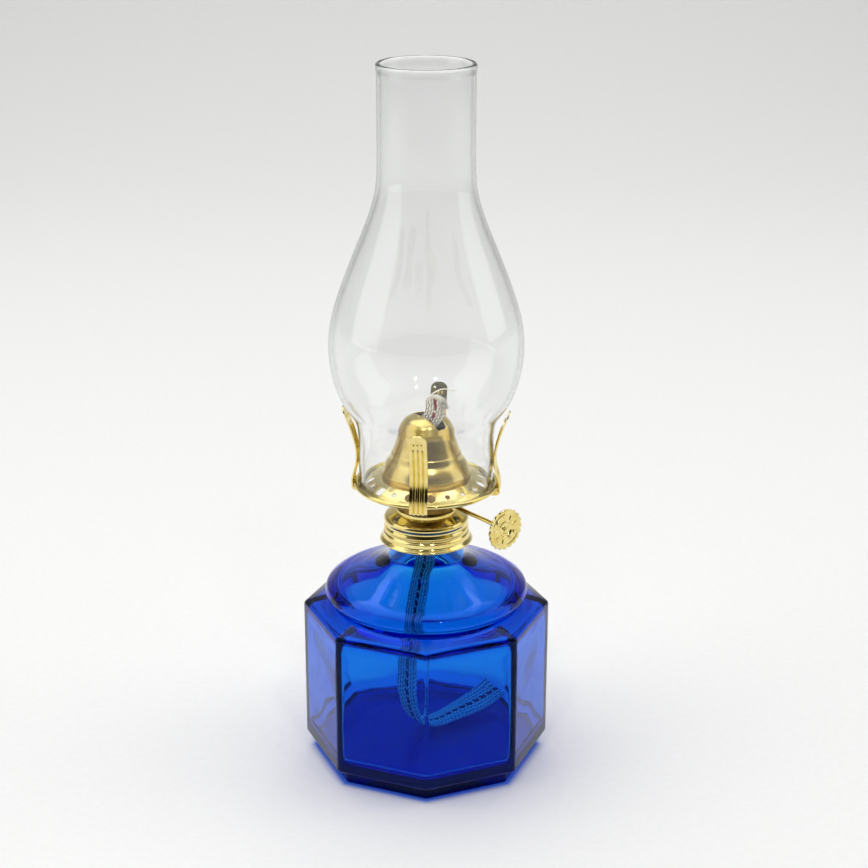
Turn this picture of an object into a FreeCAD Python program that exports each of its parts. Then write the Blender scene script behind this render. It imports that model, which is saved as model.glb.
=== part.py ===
import FreeCAD, Part
import math
import os

# Flat-wick oil lamp: a blown octagonal glass font, a brass screw-cap burner and a glass chimney.
# Millimetres, +Z up, origin on the lamp's axis at the floor.  +Y is the side away from the viewer.

# ---- driving dimensions -------------------------------------------------------------------------
FIT = 0.05                  # radial clearance of pieces that are pressed or soldered together
RUNNING = 0.05              # radial clearance of the winding shaft in its bushes
SEAT = 0.3                  # gap between loose pieces and what they stand on or slide along
SCREW_CLEAR = 0.35          # screw ridge of the neck to the inside of the cap

# glass font
FONT_FLATS = 107.4          # across the octagon's flats
FOOT_INSET = 5.3            # how far the foot stands in from each flat
FONT_FOOT_TOP = 5.6         # height where the foot starts to flare
FOOT_DRAFT = 1.4            # the foot widens by this over its height
FONT_BEVEL_TOP = 7.9        # height where the tall panels start
FONT_PANEL_TOP = 76.5       # height where the tall panels end
SHOULDER_RISE = 4.5         # panel top to the ring groove
LIP_INSET = 5.9             # rounded lip of the dome, in from the flats
LIP_RISE = 2.8              # groove to lip
DOME_RISE = 17.6            # lip to the foot of the neck
GROOVE_DEPTH = 2.4
FONT_WALL = 4.0
FONT_FLOOR = 9.0            # height of the inside floor
FONT_CORNER = 2.6           # rounding of the upright corners
NECK_R = 17.1
NECK_WALL = 2.6
NECK_HEIGHT = 18.0
NECK_RIDGE = 1.3            # height of the moulded screw ridge
THREAD_PITCH = 3.9

# screw cap
SHEET = 0.6                 # brass sheet of the burner
BEAD_HEIGHT = 0.55          # rolled thread beads above the cap's wall
BAND_HEIGHT = 0.65          # plain band above the cap's wall
CAP_FLARE = 1.7             # lip of the skirt outside the band
SHOULDER_HEIGHT = 1.8
GASKET_THICK = 1.0

# burner body
BASE_CLEAR = 1.9            # bore of the neck to the tube that hangs in it
STEP_WIDTH = 1.6            # step ring outside that tube
STEP_HEIGHT = 1.8
THROAT_HEIGHT = 15.9        # step ring to the flat of the dish
BASE_TUBE_DEPTH = 10.1      # how far the tube hangs below the cap's shoulder
VENT_R = 1.6

# gallery
DISH_DROP = 4.3             # flat of the dish to the floor of the chimney channel
DISH_HOLE_R = 10.6
CHANNEL_WIDTH = 2.0         # channel floor inside the chimney's foot
BEAD_R = 1.1                # rolled rim
BIG_HOLE_R = 2.1
SMALL_HOLE_R = 1.15
BIG_HOLE_ANGLE = 10.7       # degrees from a prong
SMALL_HOLE_ANGLE = 27.4
WINDOW = 4.0                # square punched windows

# deflector bell
BELL_SKIRT_R = 20.7
BELL_SKIRT_HEIGHT = 2.8
BELL_HEIGHT = 29.2
SLOT_ENDS = 3.65            # bell slot beyond each edge of the wick
SLOT_SIDES = 2.2            # bell slot beyond each face of the wick

# prongs
PRONG_TURN = -96.1          # azimuth of the front prong, degrees
BACK_PRONG_OFF = -3.7       # back prong off the opposite of the front one, degrees
PRONG_WIDTH = 8.0
PRONG_SHEET = 0.6
PRONG_HEIGHT = 35.5         # rolled rim to the prong's tip
PRONG_FLARE = 7.0           # tip outside the chimney's foot
PRONG_GRIP = 11.8           # rolled rim to the line where the prong bears on the chimney
PRONG_GAP = 0.35            # prong to chimney, and curled foot to rolled rim

# wick and its tube
WICK_WIDTH = 12.7
WICK_THICK = 2.2
WICK_SHOWS = 8.0            # wick above the top of the bell
TAIL_REACH = 44.0           # how far the tail curls out over the font's floor
TUBE_GAP = 0.35             # wick to tube
TUBE_SHEET = 0.45
TUBE_DROP = 6.0             # tube below the burner base
TUBE_SINK = 3.6             # tube's top below the top of the bell

# winder
SHAFT_AZIMUTH = PRONG_TURN + 45.0
SHAFT_R = 1.0
SHAFT_RISE = 2.3            # shaft above the step ring
SHAFT_OFFSET = 6.3          # from the lamp's axis to the shaft's axis
KNOB_AT = 49.0              # face of the knob, measured along the shaft
KNOB_R = 9.7
KNOB_SCALLOP = 0.55
KNOB_LOBES = 20
KNOB_SHEET = 1.0
HUB_R = 2.6
BUSH_WALL = 0.85
BUSH_LENGTH = 3.4
WHEEL_SPACING = 6.6         # between the two feed wheels
WHEEL_THICK = 0.6
WHEEL_TEETH = 12
TOOTH_HEIGHT = 1.5
WHEEL_HUB_WALL = 0.85

# glass chimney
CHIMNEY_FOOT_R = 31.0
CHIMNEY_HEIGHT = 193.2
CHIMNEY_TOP_R = 21.7
CHIMNEY_RIM = 0.4           # rounded rim outside the top tube
CHIMNEY_WALL = 1.7
CHIMNEY_BULGE_R = 44.3
CHIMNEY_BULGE_RISE = 65.2   # foot to the widest place

# ---- sizes worked out from those above ----------------------------------------------------------
AXIS_Z = FreeCAD.Vector(0, 0, 1)
ORIGIN = FreeCAD.Vector(0, 0, 0)
ALONG = FreeCAD.Vector(math.cos(math.radians(SHAFT_AZIMUTH)), math.sin(math.radians(SHAFT_AZIMUTH)), 0)
ACROSS = AXIS_Z.cross(ALONG)

FOOT_FLATS = FONT_FLATS - 2 * FOOT_INSET
LIP_R = FONT_FLATS / 2 - LIP_INSET
GROOVE_R = LIP_R - GROOVE_DEPTH
GROOVE_Z = FONT_PANEL_TOP + SHOULDER_RISE
LIP_Z = GROOVE_Z + LIP_RISE
NECK_FOOT_Z = LIP_Z + DOME_RISE
NECK_TOP = NECK_FOOT_Z + NECK_HEIGHT
NECK_BORE_R = NECK_R - NECK_WALL

CAP_INNER_R = NECK_R + NECK_RIDGE + SCREW_CLEAR
CAP_WALL_R = CAP_INNER_R + SHEET
CAP_BEAD_R = CAP_WALL_R + BEAD_HEIGHT
CAP_BAND_R = CAP_WALL_R + BAND_HEIGHT
CAP_LIP_R = CAP_BAND_R + CAP_FLARE
CAP_CEILING = NECK_TOP + GASKET_THICK
CAP_TOP = CAP_CEILING + 1.5 * SHEET
CAP_BEAD_Z = NECK_TOP - THREAD_PITCH + 0.1      # centre of the lower thread bead
CAP_BAND_TOP = CAP_BEAD_Z - 2.3
CAP_BAND_Z = CAP_BAND_TOP - 2.4
CAP_LIP_Z = CAP_BAND_Z - 1.5
CAP_SHOULDER_TOP = CAP_TOP + SHOULDER_HEIGHT

BASE_TUBE_R = NECK_BORE_R - BASE_CLEAR
BASE_TUBE_LOW = CAP_SHOULDER_TOP - BASE_TUBE_DEPTH
STEP_R = BASE_TUBE_R + STEP_WIDTH
STEP_TOP = CAP_SHOULDER_TOP + STEP_HEIGHT
THROAT_R = BASE_TUBE_R + STEP_WIDTH / 4

DISH_FLAT_Z = STEP_TOP + THROAT_HEIGHT
DISH_FLAT_R = BELL_SKIRT_R + 1.5 * SHEET
CHANNEL_Z = DISH_FLAT_Z - DISH_DROP
CHANNEL_R = CHIMNEY_FOOT_R - CHANNEL_WIDTH
HOLE_RING_R = (DISH_FLAT_R + CHANNEL_R) / 2 + 0.7
BEAD_RING_R = CHIMNEY_FOOT_R + SEAT + BEAD_R
BEAD_RING_Z = CHANNEL_Z + 0.5
BELL_TOP = DISH_FLAT_Z + BELL_HEIGHT

WICK_TOP = BELL_TOP + WICK_SHOWS
TUBE_HALF_IN = WICK_THICK / 2 + TUBE_GAP
TUBE_HALF_OUT = TUBE_HALF_IN + TUBE_SHEET
TUBE_SIDE_IN = WICK_WIDTH / 2 + TUBE_GAP
TUBE_SIDE_OUT = TUBE_SIDE_IN + TUBE_SHEET
WICK_SPLIT = BASE_TUBE_LOW - 1.5 * TUBE_DROP    # the straight wick ends, the hanging tail starts
TUBE_LOW = BASE_TUBE_LOW - TUBE_DROP
TUBE_TOP = BELL_TOP - TUBE_SINK

SHAFT_Z = STEP_TOP + SHAFT_RISE
WALL_CROSSING = math.sqrt(THROAT_R ** 2 - SHAFT_OFFSET ** 2)    # throat wall, along the shaft
BUSH_R = SHAFT_R + RUNNING + BUSH_WALL
WHEEL_TIP_R = SHAFT_OFFSET - WICK_THICK / 2 - SEAT

CHIMNEY_BASE = CHANNEL_Z + SEAT
CHIMNEY_BULGE_Z = CHIMNEY_BASE + CHIMNEY_BULGE_RISE
CHIMNEY_TOP = CHIMNEY_BASE + CHIMNEY_HEIGHT
CHIMNEY_RIM_R = CHIMNEY_TOP_R + CHIMNEY_RIM


# ---- small helpers ------------------------------------------------------------------------------
def rz(r, z):
    """Point of a turned outline, at radius r and height z."""
    return FreeCAD.Vector(r, 0, z)


def straight(points):
    """Edges that join the points with straight lines."""
    return [Part.LineSegment(rz(*a), rz(*b)).toShape() for a, b in zip(points, points[1:])]


def smooth(points, start=None, end=None):
    """One smooth edge through the points; start and end are optional tangents."""
    curve = Part.BSplineCurve()
    poles = [rz(*p) for p in points]
    if start and end:
        curve.interpolate(Points=poles, InitialTangent=rz(*start), FinalTangent=rz(*end))
    else:
        curve.interpolate(poles)
    return [curve.toShape()]


def turned(edges):
    """Solid made by turning a closed outline around the lamp's axis."""
    wire = Part.Wire(Part.sortEdges(edges)[0])
    return Part.Face(wire).revolve(ORIGIN, AXIS_Z, 360)


def ring(r_in, r_out, low, high):
    """Flat or tall ring around the lamp's axis."""
    outer = Part.makeCylinder(r_out, high - low, FreeCAD.Vector(0, 0, low))
    inner = Part.makeCylinder(r_in, high - low, FreeCAD.Vector(0, 0, low))
    return outer.cut(inner)


def octagon(flats, z):
    """Octagon wire with a corner towards the viewer."""
    radius = flats / 2 / math.cos(math.pi / 8)
    corners = [FreeCAD.Vector(radius * math.cos(k * math.pi / 4), radius * math.sin(k * math.pi / 4), z)
               for k in range(9)]
    return Part.makePolygon(corners)


def octagon_block(flats, low, high, rounding):
    """Upright octagonal block with rounded corners."""
    block = Part.Face(octagon(flats, low)).extrude(FreeCAD.Vector(0, 0, high - low))
    upright = [e for e in block.Edges if abs(e.tangentAt(e.FirstParameter).z) > 0.99]
    return block.makeFillet(rounding, upright)


def shifted(points, distance):
    """Outline moved sideways by a distance, to the left of its direction."""
    moved = []
    for i, (r, z) in enumerate(points):
        before = points[max(i - 1, 0)]
        after = points[min(i + 1, len(points) - 1)]
        dr = after[0] - before[0]
        dz = after[1] - before[1]
        length = math.hypot(dr, dz)
        moved.append((r - dz / length * distance, z + dr / length * distance))
    return moved


def flat_block(half_along, half_across, low, high, shift_across=0.0, shift_along=0.0):
    """Upright block lined up with the wick, centred on the lamp's axis or moved off it."""
    block = Part.makeBox(2 * half_along, 2 * half_across, high - low,
                         FreeCAD.Vector(shift_along - half_along, shift_across - half_across, low))
    block.rotate(ORIGIN, AXIS_Z, SHAFT_AZIMUTH)
    return block


def strip(edges, width, azimuth):
    """Closed upright outline given a width, then turned to an azimuth about the lamp's axis."""
    face = Part.Face(Part.Wire(Part.sortEdges(edges)[0]))
    block = face.extrude(FreeCAD.Vector(0, width, 0))
    block.translate(FreeCAD.Vector(0, -width / 2, 0))
    block.rotate(ORIGIN, AXIS_Z, azimuth)
    return block


def on_shaft(distance):
    """Point on the shaft's axis, at a distance from its middle."""
    return ALONG * distance + ACROSS * SHAFT_OFFSET + FreeCAD.Vector(0, 0, SHAFT_Z)


def rod(radius, start, end):
    """Round bar on the shaft's axis."""
    return Part.makeCylinder(radius, end - start, on_shaft(start), ALONG)


def star(outline, start, thickness):
    """Flat plate across the shaft, its outline given as (angle, radius) pairs."""
    points = []
    for angle, radius in outline:
        points.append(on_shaft(start) + ACROSS * (radius * math.cos(angle))
                      + AXIS_Z * (radius * math.sin(angle)))
    points.append(points[0])
    return Part.Face(Part.makePolygon(points)).extrude(ALONG * thickness)


# ---- pieces -------------------------------------------------------------------------------------
def dome_outline():
    """Outside of the dome, from its rounded lip in to the foot of the neck."""
    rise = NECK_FOOT_Z - LIP_Z
    run = LIP_R - NECK_R
    shares = [(0, 0), (0.03, 0.17), (0.155, 0.33), (0.36, 0.43), (0.555, 0.555), (0.79, 0.74), (0.98, 1)]
    return [(LIP_R - run * inward, LIP_Z + rise * up) for inward, up in shares]


def make_font():
    """Pressed glass octagon with a groove, a rounded dome, a screw neck and one hollow."""
    shoulder_low = FONT_PANEL_TOP - 1
    shoulder_r = FONT_FLATS / 2 - 1.2
    body = octagon_block(FONT_FLATS, FONT_BEVEL_TOP, FONT_PANEL_TOP, FONT_CORNER)
    foot_top = octagon(FOOT_FLATS + FOOT_DRAFT, FONT_FOOT_TOP)
    bevel = Part.makeLoft([foot_top, octagon(FONT_FLATS - FONT_CORNER / 2, FONT_BEVEL_TOP)], True, True)
    foot = Part.makeLoft([octagon(FOOT_FLATS, 0), foot_top], True, True)
    shoulder = turned(straight([(0, shoulder_low), (shoulder_r, shoulder_low),
                                (shoulder_r, FONT_PANEL_TOP + 0.6), (GROOVE_R, GROOVE_Z),
                                (0, GROOVE_Z), (0, shoulder_low)]))
    dome_line = dome_outline()
    dome_end = dome_line[-1]
    dome = turned(straight([(0, GROOVE_Z), (GROOVE_R, GROOVE_Z)])
                  + smooth([(GROOVE_R, GROOVE_Z), (LIP_R - 0.7, LIP_Z - 1.9), (LIP_R, LIP_Z)])
                  + smooth(dome_line)
                  + straight([dome_end, (0, dome_end[1]), (0, GROOVE_Z)]))
    neck = Part.makeCylinder(NECK_R, NECK_HEIGHT + 2, FreeCAD.Vector(0, 0, NECK_FOOT_Z - 2))
    solid = body.fuse([bevel, foot, shoulder, dome, neck])
    for height in (CAP_BEAD_Z - 0.4, CAP_BEAD_Z - 0.4 + THREAD_PITCH / 2):
        ridge = [(NECK_R - 0.3, height - 1.0), (NECK_R + NECK_RIDGE, height - 0.3),
                 (NECK_R + NECK_RIDGE, height + 0.3), (NECK_R - 0.3, height + 1.0)]
        solid = solid.fuse(turned(straight(ridge + ridge[:1])))
    return solid.cut(make_hollow(dome_line)).removeSplitter()


def make_hollow(dome_line):
    """The font's inside, a wall's thickness in from its outside."""
    hollow_top = FONT_PANEL_TOP - FONT_WALL
    side_r = GROOVE_R - FONT_WALL
    chamber = octagon_block(FONT_FLATS - 2 * FONT_WALL, FONT_FLOOR, hollow_top, 4 * FONT_CORNER)
    ceiling = [(r - 0.55 * FONT_WALL, z - FONT_WALL) for r, z in dome_line[2:-1]]
    throat = (NECK_BORE_R, NECK_FOOT_Z - 0.85 * FONT_WALL)
    outline = straight([(0, hollow_top - 1), (side_r, hollow_top - 1), (side_r, GROOVE_Z), ceiling[0]])
    outline += smooth(ceiling)
    outline += straight([ceiling[-1], throat, (NECK_BORE_R, NECK_TOP + 1), (0, NECK_TOP + 1),
                         (0, hollow_top - 1)])
    return chamber.fuse(turned(outline))


def make_gasket():
    """Flat seal that the cap presses on the rim of the neck."""
    return ring(NECK_BORE_R + 0.4, CAP_INNER_R - SEAT, NECK_TOP, CAP_CEILING)


def make_screw_cap():
    """Pressed cap: flared skirt, plain band, two thread beads and a sloping shoulder."""
    bead_top_z = CAP_BEAD_Z + THREAD_PITCH
    outer = [(CAP_BAND_R, CAP_BAND_Z), (CAP_BAND_R, CAP_BAND_TOP), (CAP_WALL_R, CAP_BAND_TOP + 0.6),
             (CAP_WALL_R, CAP_BEAD_Z - 1.2), (CAP_BEAD_R, CAP_BEAD_Z - 0.4),
             (CAP_BEAD_R, CAP_BEAD_Z + 0.4), (CAP_WALL_R, CAP_BEAD_Z + 1.2),
             (CAP_WALL_R, bead_top_z - 1.2), (CAP_BEAD_R, bead_top_z - 0.4),
             (CAP_BEAD_R, bead_top_z + 0.4), (CAP_WALL_R, CAP_TOP - 0.3), (CAP_WALL_R - 0.4, CAP_TOP),
             (STEP_R - 0.4, CAP_SHOULDER_TOP)]
    inner = [(BASE_TUBE_R + FIT, CAP_SHOULDER_TOP), (BASE_TUBE_R + FIT, CAP_CEILING),
             (CAP_INNER_R, CAP_CEILING), (CAP_INNER_R, CAP_BAND_TOP),
             (CAP_BAND_R - SHEET, CAP_BAND_TOP - 0.4), (CAP_BAND_R - SHEET, CAP_BAND_Z + 0.3),
             (CAP_LIP_R - SHEET, CAP_LIP_Z), (CAP_LIP_R, CAP_LIP_Z)]
    return turned(straight(outer + inner + outer[:1]))


def make_burner_base():
    """Step ring on the cap, with the tube that hangs through it into the neck."""
    outline = [(BASE_TUBE_R, BASE_TUBE_LOW), (BASE_TUBE_R, CAP_SHOULDER_TOP), (STEP_R, CAP_SHOULDER_TOP),
               (STEP_R, STEP_TOP), (BASE_TUBE_R - SHEET, STEP_TOP),
               (BASE_TUBE_R - SHEET, BASE_TUBE_LOW + SHEET), (BASE_TUBE_R - 2 * SHEET, BASE_TUBE_LOW + SHEET),
               (BASE_TUBE_R - 2 * SHEET, BASE_TUBE_LOW), (BASE_TUBE_R, BASE_TUBE_LOW)]
    return turned(straight(outline))


def make_base_plate():
    """Disc that closes the hanging tube, slotted for the wick tube and vented."""
    place = FreeCAD.Vector(0, 0, BASE_TUBE_LOW + SHEET)
    plate = Part.makeCylinder(BASE_TUBE_R - SHEET - FIT, 2 * SHEET, place)
    slot = flat_block(TUBE_SIDE_OUT + FIT, TUBE_HALF_OUT + FIT, BASE_TUBE_LOW, BASE_TUBE_LOW + 4 * SHEET)
    vent_place = ACROSS * (-BASE_TUBE_R / 2) + FreeCAD.Vector(0, 0, BASE_TUBE_LOW)
    vent = Part.makeCylinder(VENT_R, 4 * SHEET, vent_place)
    return plate.cut(slot).cut(vent)


def make_throat():
    """Short tube from the step ring to the dish, drilled for the shaft's bushes."""
    tube = ring(THROAT_R - SHEET, THROAT_R, STEP_TOP, DISH_FLAT_Z - SHEET)
    return tube.cut(rod(BUSH_R + FIT, -THROAT_R - 2, THROAT_R + 2))


def make_gallery():
    """Perforated dish with a channel for the chimney and a rolled rim."""
    ring_z = DISH_FLAT_Z - 1.5
    top = [(DISH_HOLE_R, DISH_FLAT_Z), (DISH_FLAT_R, DISH_FLAT_Z), (HOLE_RING_R, ring_z),
           (CHANNEL_R - 0.8, CHANNEL_Z + 1.2), (CHANNEL_R, CHANNEL_Z), (BEAD_RING_R, CHANNEL_Z)]
    under = [(BEAD_RING_R, CHANNEL_Z - SHEET), (CHANNEL_R - 0.4, CHANNEL_Z - SHEET),
             (CHANNEL_R - 1.4, CHANNEL_Z + 0.9), (HOLE_RING_R - 0.3, ring_z - SHEET),
             (DISH_FLAT_R - 0.1, DISH_FLAT_Z - SHEET), (DISH_HOLE_R, DISH_FLAT_Z - SHEET)]
    dish = turned(straight(top + under + top[:1]))
    bead = Part.makeTorus(BEAD_RING_R, BEAD_R, FreeCAD.Vector(0, 0, BEAD_RING_Z))
    punch_length = 2 * DISH_DROP
    punches = []
    for k in range(4):
        prong = PRONG_TURN + 90 * k
        holes = [(prong + side * BIG_HOLE_ANGLE, BIG_HOLE_R) for side in (-1, 1)]
        holes += [(prong + side * SMALL_HOLE_ANGLE, SMALL_HOLE_R) for side in (-1, 1)]
        if k % 2 == 0:
            holes.append((prong + 45, SMALL_HOLE_R))
        else:
            corner = FreeCAD.Vector(HOLE_RING_R - WINDOW / 2, -WINDOW / 2, CHANNEL_Z - 1)
            window = Part.makeBox(WINDOW, WINDOW, punch_length, corner)
            window.rotate(ORIGIN, AXIS_Z, prong + 45)
            punches.append(window)
        for azimuth, radius in holes:
            angle = math.radians(azimuth)
            place = FreeCAD.Vector(math.cos(angle), math.sin(angle), 0) * HOLE_RING_R
            place.z = CHANNEL_Z - 1
            punches.append(Part.makeCylinder(radius, punch_length, place))
    return dish.fuse(bead).cut(punches)


def make_deflector():
    """Bell over the wick tube: straight skirt, waisted wall and a slotted crown."""
    skirt_top = DISH_FLAT_Z + BELL_SKIRT_HEIGHT
    crown_z = BELL_TOP - 1.9
    crown_r = 0.445 * BELL_SKIRT_R
    wall_drop = crown_z - skirt_top
    wall_in = BELL_SKIRT_R - crown_r
    shares = [(0, 0), (0.115, 0.12), (0.33, 0.225), (0.45, 0.39), (0.575, 0.555), (0.685, 0.755),
              (0.825, 0.91), (1, 1)]
    outer = [(BELL_SKIRT_R - wall_in * inward, skirt_top + wall_drop * up) for inward, up in shares]
    crown = [outer[-1], (0.54 * crown_r, BELL_TOP - 0.4), (0, BELL_TOP)]
    inner = [(r - SHEET, z - SHEET / 2) for r, z in outer]
    inner_crown = [(r * 0.93, z - SHEET) for r, z in crown]
    edges = straight([(BELL_SKIRT_R, DISH_FLAT_Z), outer[0]]) + smooth(outer[:3]) + smooth(outer[2:])
    edges += smooth(crown) + straight([crown[-1], inner_crown[-1]]) + smooth(inner_crown)
    edges += straight([inner_crown[0], inner[-1]]) + smooth(inner[2:]) + smooth(inner[:3])
    edges += straight([inner[0], (BELL_SKIRT_R - SHEET, DISH_FLAT_Z), (BELL_SKIRT_R, DISH_FLAT_Z)])
    slot = flat_block(WICK_WIDTH / 2 + SLOT_ENDS, WICK_THICK / 2 + SLOT_SIDES, TUBE_TOP - 5, BELL_TOP + 2)
    return turned(edges).cut(slot)


def make_prong(azimuth):
    """Sprung strip: a foot curled round the rim, a bow in to the chimney and a flared tip."""
    inner_r = BEAD_R + PRONG_GAP
    outer_r = inner_r + PRONG_SHEET

    def curl(radius, degrees):
        angle = math.radians(degrees)
        return (BEAD_RING_R + radius * math.cos(angle), BEAD_RING_Z + radius * math.sin(angle))

    grip_r = CHIMNEY_FOOT_R + PRONG_GAP + 0.3
    grip_z = BEAD_RING_Z + PRONG_GRIP
    tip = (CHIMNEY_FOOT_R + PRONG_FLARE, BEAD_RING_Z + PRONG_HEIGHT)
    above = tip[1] - grip_z
    inside = [curl(inner_r, 20), (BEAD_RING_R + inner_r - 0.55, BEAD_RING_Z + PRONG_GRIP / 3),
              (grip_r, grip_z), (grip_r + 0.55, grip_z + 0.26 * above),
              (grip_r + 2.7, grip_z + 0.6 * above), tip]
    outside = shifted(inside, -PRONG_SHEET)
    outside[0] = curl(outer_r, 20)
    tab_r = BEAD_RING_R - 2.6
    edges = smooth(inside) + smooth(outside) + straight([inside[-1], outside[-1]])
    for radius in (inner_r, outer_r):
        arc = Part.Arc(rz(*curl(radius, 20)), rz(*curl(radius, -35)), rz(*curl(radius, -90)))
        edges.append(arc.toShape())
        edges += straight([curl(radius, -90), (tab_r, BEAD_RING_Z - radius)])
    edges += straight([(tab_r, BEAD_RING_Z - inner_r), (tab_r, BEAD_RING_Z - outer_r)])
    return strip(edges, PRONG_WIDTH, azimuth)


def make_wick_tube():
    """Flat tube that guides the wick, with a slot for each feed wheel."""
    tube = flat_block(TUBE_SIDE_OUT, TUBE_HALF_OUT, TUBE_LOW, TUBE_TOP)
    tube = tube.cut(flat_block(TUBE_SIDE_IN, TUBE_HALF_IN, TUBE_LOW - 1, TUBE_TOP + 1))
    for side in (-1, 1):
        slot = flat_block(WHEEL_THICK / 2 + SEAT, TUBE_SHEET, SHAFT_Z - WHEEL_TIP_R, SHAFT_Z + WHEEL_TIP_R,
                          TUBE_HALF_OUT, side * WHEEL_SPACING / 2)
        tube = tube.cut(slot)
    return tube


def make_bush(start):
    """Bearing of the shaft, set in the throat's wall."""
    bore = rod(SHAFT_R + RUNNING, start - 1, start + BUSH_LENGTH + 1)
    return rod(BUSH_R, start, start + BUSH_LENGTH).cut(bore)


def make_shaft():
    """Winding shaft, from beyond the far bush to the staked end in the knob."""
    return rod(SHAFT_R, -WALL_CROSSING - BUSH_LENGTH / 2 - 0.4, KNOB_AT + 0.8)


def make_knob():
    """Pressed disc with a scalloped edge and a short hub."""
    steps = KNOB_LOBES * 6
    outline = []
    for i in range(steps):
        angle = 2 * math.pi * i / steps
        dip = KNOB_SCALLOP * (0.5 - 0.5 * math.cos(KNOB_LOBES * angle))
        outline.append((angle, KNOB_R - dip))
    plate = star(outline, KNOB_AT - KNOB_SHEET, KNOB_SHEET)
    hub = rod(HUB_R, KNOB_AT - 2.4 * KNOB_SHEET, KNOB_AT)
    return plate.fuse(hub).cut(rod(SHAFT_R + FIT, KNOB_AT - 4, KNOB_AT + 2))


def make_wheel(at):
    """Toothed wheel that feeds the wick; its teeth reach through a slot of the wick tube."""
    outline = []
    for i in range(WHEEL_TEETH):
        angle = 2 * math.pi * i / WHEEL_TEETH
        outline.append((angle, WHEEL_TIP_R))
        outline.append((angle + math.pi / WHEEL_TEETH, WHEEL_TIP_R - TOOTH_HEIGHT))
    wheel = star(outline, at - WHEEL_THICK / 2, WHEEL_THICK)
    hub = rod(SHAFT_R + FIT + WHEEL_HUB_WALL, at - WHEEL_THICK, at + WHEEL_THICK)
    return wheel.fuse(hub).cut(rod(SHAFT_R + FIT, at - 2, at + 2))


def make_wick():
    """Straight part of the wick, in its tube and above the bell."""
    return flat_block(WICK_WIDTH / 2, WICK_THICK / 2, WICK_SPLIT, WICK_TOP)


def make_wick_tail():
    """Hanging end of the wick, curled out over the font's floor."""
    low = FONT_FLOOR + WICK_THICK / 2 + SEAT + 1.6
    drop = WICK_SPLIT - low
    middle = [(0, WICK_SPLIT), (-0.8, low + 0.935 * drop), (-5.0, low + 0.74 * drop),
              (-8.8, low + 0.5 * drop), (-10.6, low + 0.305 * drop), (-9.8, low + 0.163 * drop),
              (-5.5, low + 0.05 * drop), (0.08 * TAIL_REACH, low), (0.36 * TAIL_REACH, low + 0.2),
              (0.68 * TAIL_REACH, low + 1.6), (TAIL_REACH, low + 5.0)]
    left = shifted(middle, WICK_THICK / 2)
    right = shifted(middle, -WICK_THICK / 2)
    left[0] = (WICK_THICK / 2, WICK_SPLIT)
    right[0] = (-WICK_THICK / 2, WICK_SPLIT)
    edges = smooth(left) + smooth(right) + straight([left[0], right[0]]) + straight([left[-1], right[-1]])
    return strip(edges, WICK_WIDTH, SHAFT_AZIMUTH + 90)


def make_chimney():
    """Blown chimney: straight foot, full bulge, long taper and a top tube with a rounded rim."""
    swell = CHIMNEY_BULGE_R - CHIMNEY_FOOT_R
    taper = CHIMNEY_BULGE_R - CHIMNEY_TOP_R
    rise = CHIMNEY_TOP - CHIMNEY_BULGE_Z
    below = [(0, 0), (0.008, 0.2), (0.022, 0.387), (0.15, 0.494), (0.444, 0.583), (0.827, 0.761), (1, 1)]
    above = [(0.947, 0.1016), (0.7655, 0.211), (0.4115, 0.372), (0.177, 0.478), (0.031, 0.578), (0, 0.656)]
    line = [(CHIMNEY_FOOT_R + swell * out, CHIMNEY_BASE + CHIMNEY_BULGE_RISE * up) for out, up in below]
    line += [(CHIMNEY_TOP_R + taper * out, CHIMNEY_BULGE_Z + rise * up) for out, up in above]
    rim_z = CHIMNEY_TOP - 4
    line.append((CHIMNEY_TOP_R, rim_z))
    inside = shifted(line, CHIMNEY_WALL)
    inside[0] = (CHIMNEY_FOOT_R - CHIMNEY_WALL, CHIMNEY_BASE)
    inside[-1] = (CHIMNEY_TOP_R - CHIMNEY_WALL, rim_z)
    top_in = (CHIMNEY_TOP_R - CHIMNEY_WALL, CHIMNEY_TOP)
    edges = smooth(line, (0, 1), (0, 1)) + smooth(inside, (0, 1), (0, 1))
    edges += straight([line[0], inside[0]]) + straight([inside[-1], top_in, (CHIMNEY_TOP_R, CHIMNEY_TOP)])
    rim = Part.Arc(rz(CHIMNEY_TOP_R, CHIMNEY_TOP), rz(CHIMNEY_RIM_R, CHIMNEY_TOP - 2),
                   rz(CHIMNEY_TOP_R, rim_z))
    edges.append(rim.toShape())
    return turned(edges)


# ---- build --------------------------------------------------------------------------------------
PRONG_AZIMUTHS = {"front": PRONG_TURN, "right": PRONG_TURN + 90, "back": PRONG_TURN + 180 + BACK_PRONG_OFF,
                  "left": PRONG_TURN + 270}

parts = {
    "font": make_font(),
    "cap_gasket": make_gasket(),
    "screw_cap": make_screw_cap(),
    "burner_base": make_burner_base(),
    "base_plate": make_base_plate(),
    "burner_throat": make_throat(),
    "gallery": make_gallery(),
    "deflector": make_deflector(),
    "wick_tube": make_wick_tube(),
    "shaft_bush_near": make_bush(WALL_CROSSING - BUSH_LENGTH / 2),
    "shaft_bush_far": make_bush(-WALL_CROSSING - BUSH_LENGTH / 2),
    "winder_shaft": make_shaft(),
    "winder_knob": make_knob(),
    "feed_wheel_near": make_wheel(WHEEL_SPACING / 2),
    "feed_wheel_far": make_wheel(-WHEEL_SPACING / 2),
    "wick": make_wick(),
    "wick_tail": make_wick_tail(),
    "chimney": make_chimney(),
}
for name, azimuth in PRONG_AZIMUTHS.items():
    parts["prong_" + name] = make_prong(azimuth)

os.makedirs("parts", exist_ok=True)
for node, shape in parts.items():
    shape.exportStep("parts/" + node + ".step")
    print(node, len(shape.Solids), shape.isValid(), round(shape.Volume, 1))
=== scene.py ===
import logging
import math
from dataclasses import dataclass, field
from enum import Enum

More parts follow.
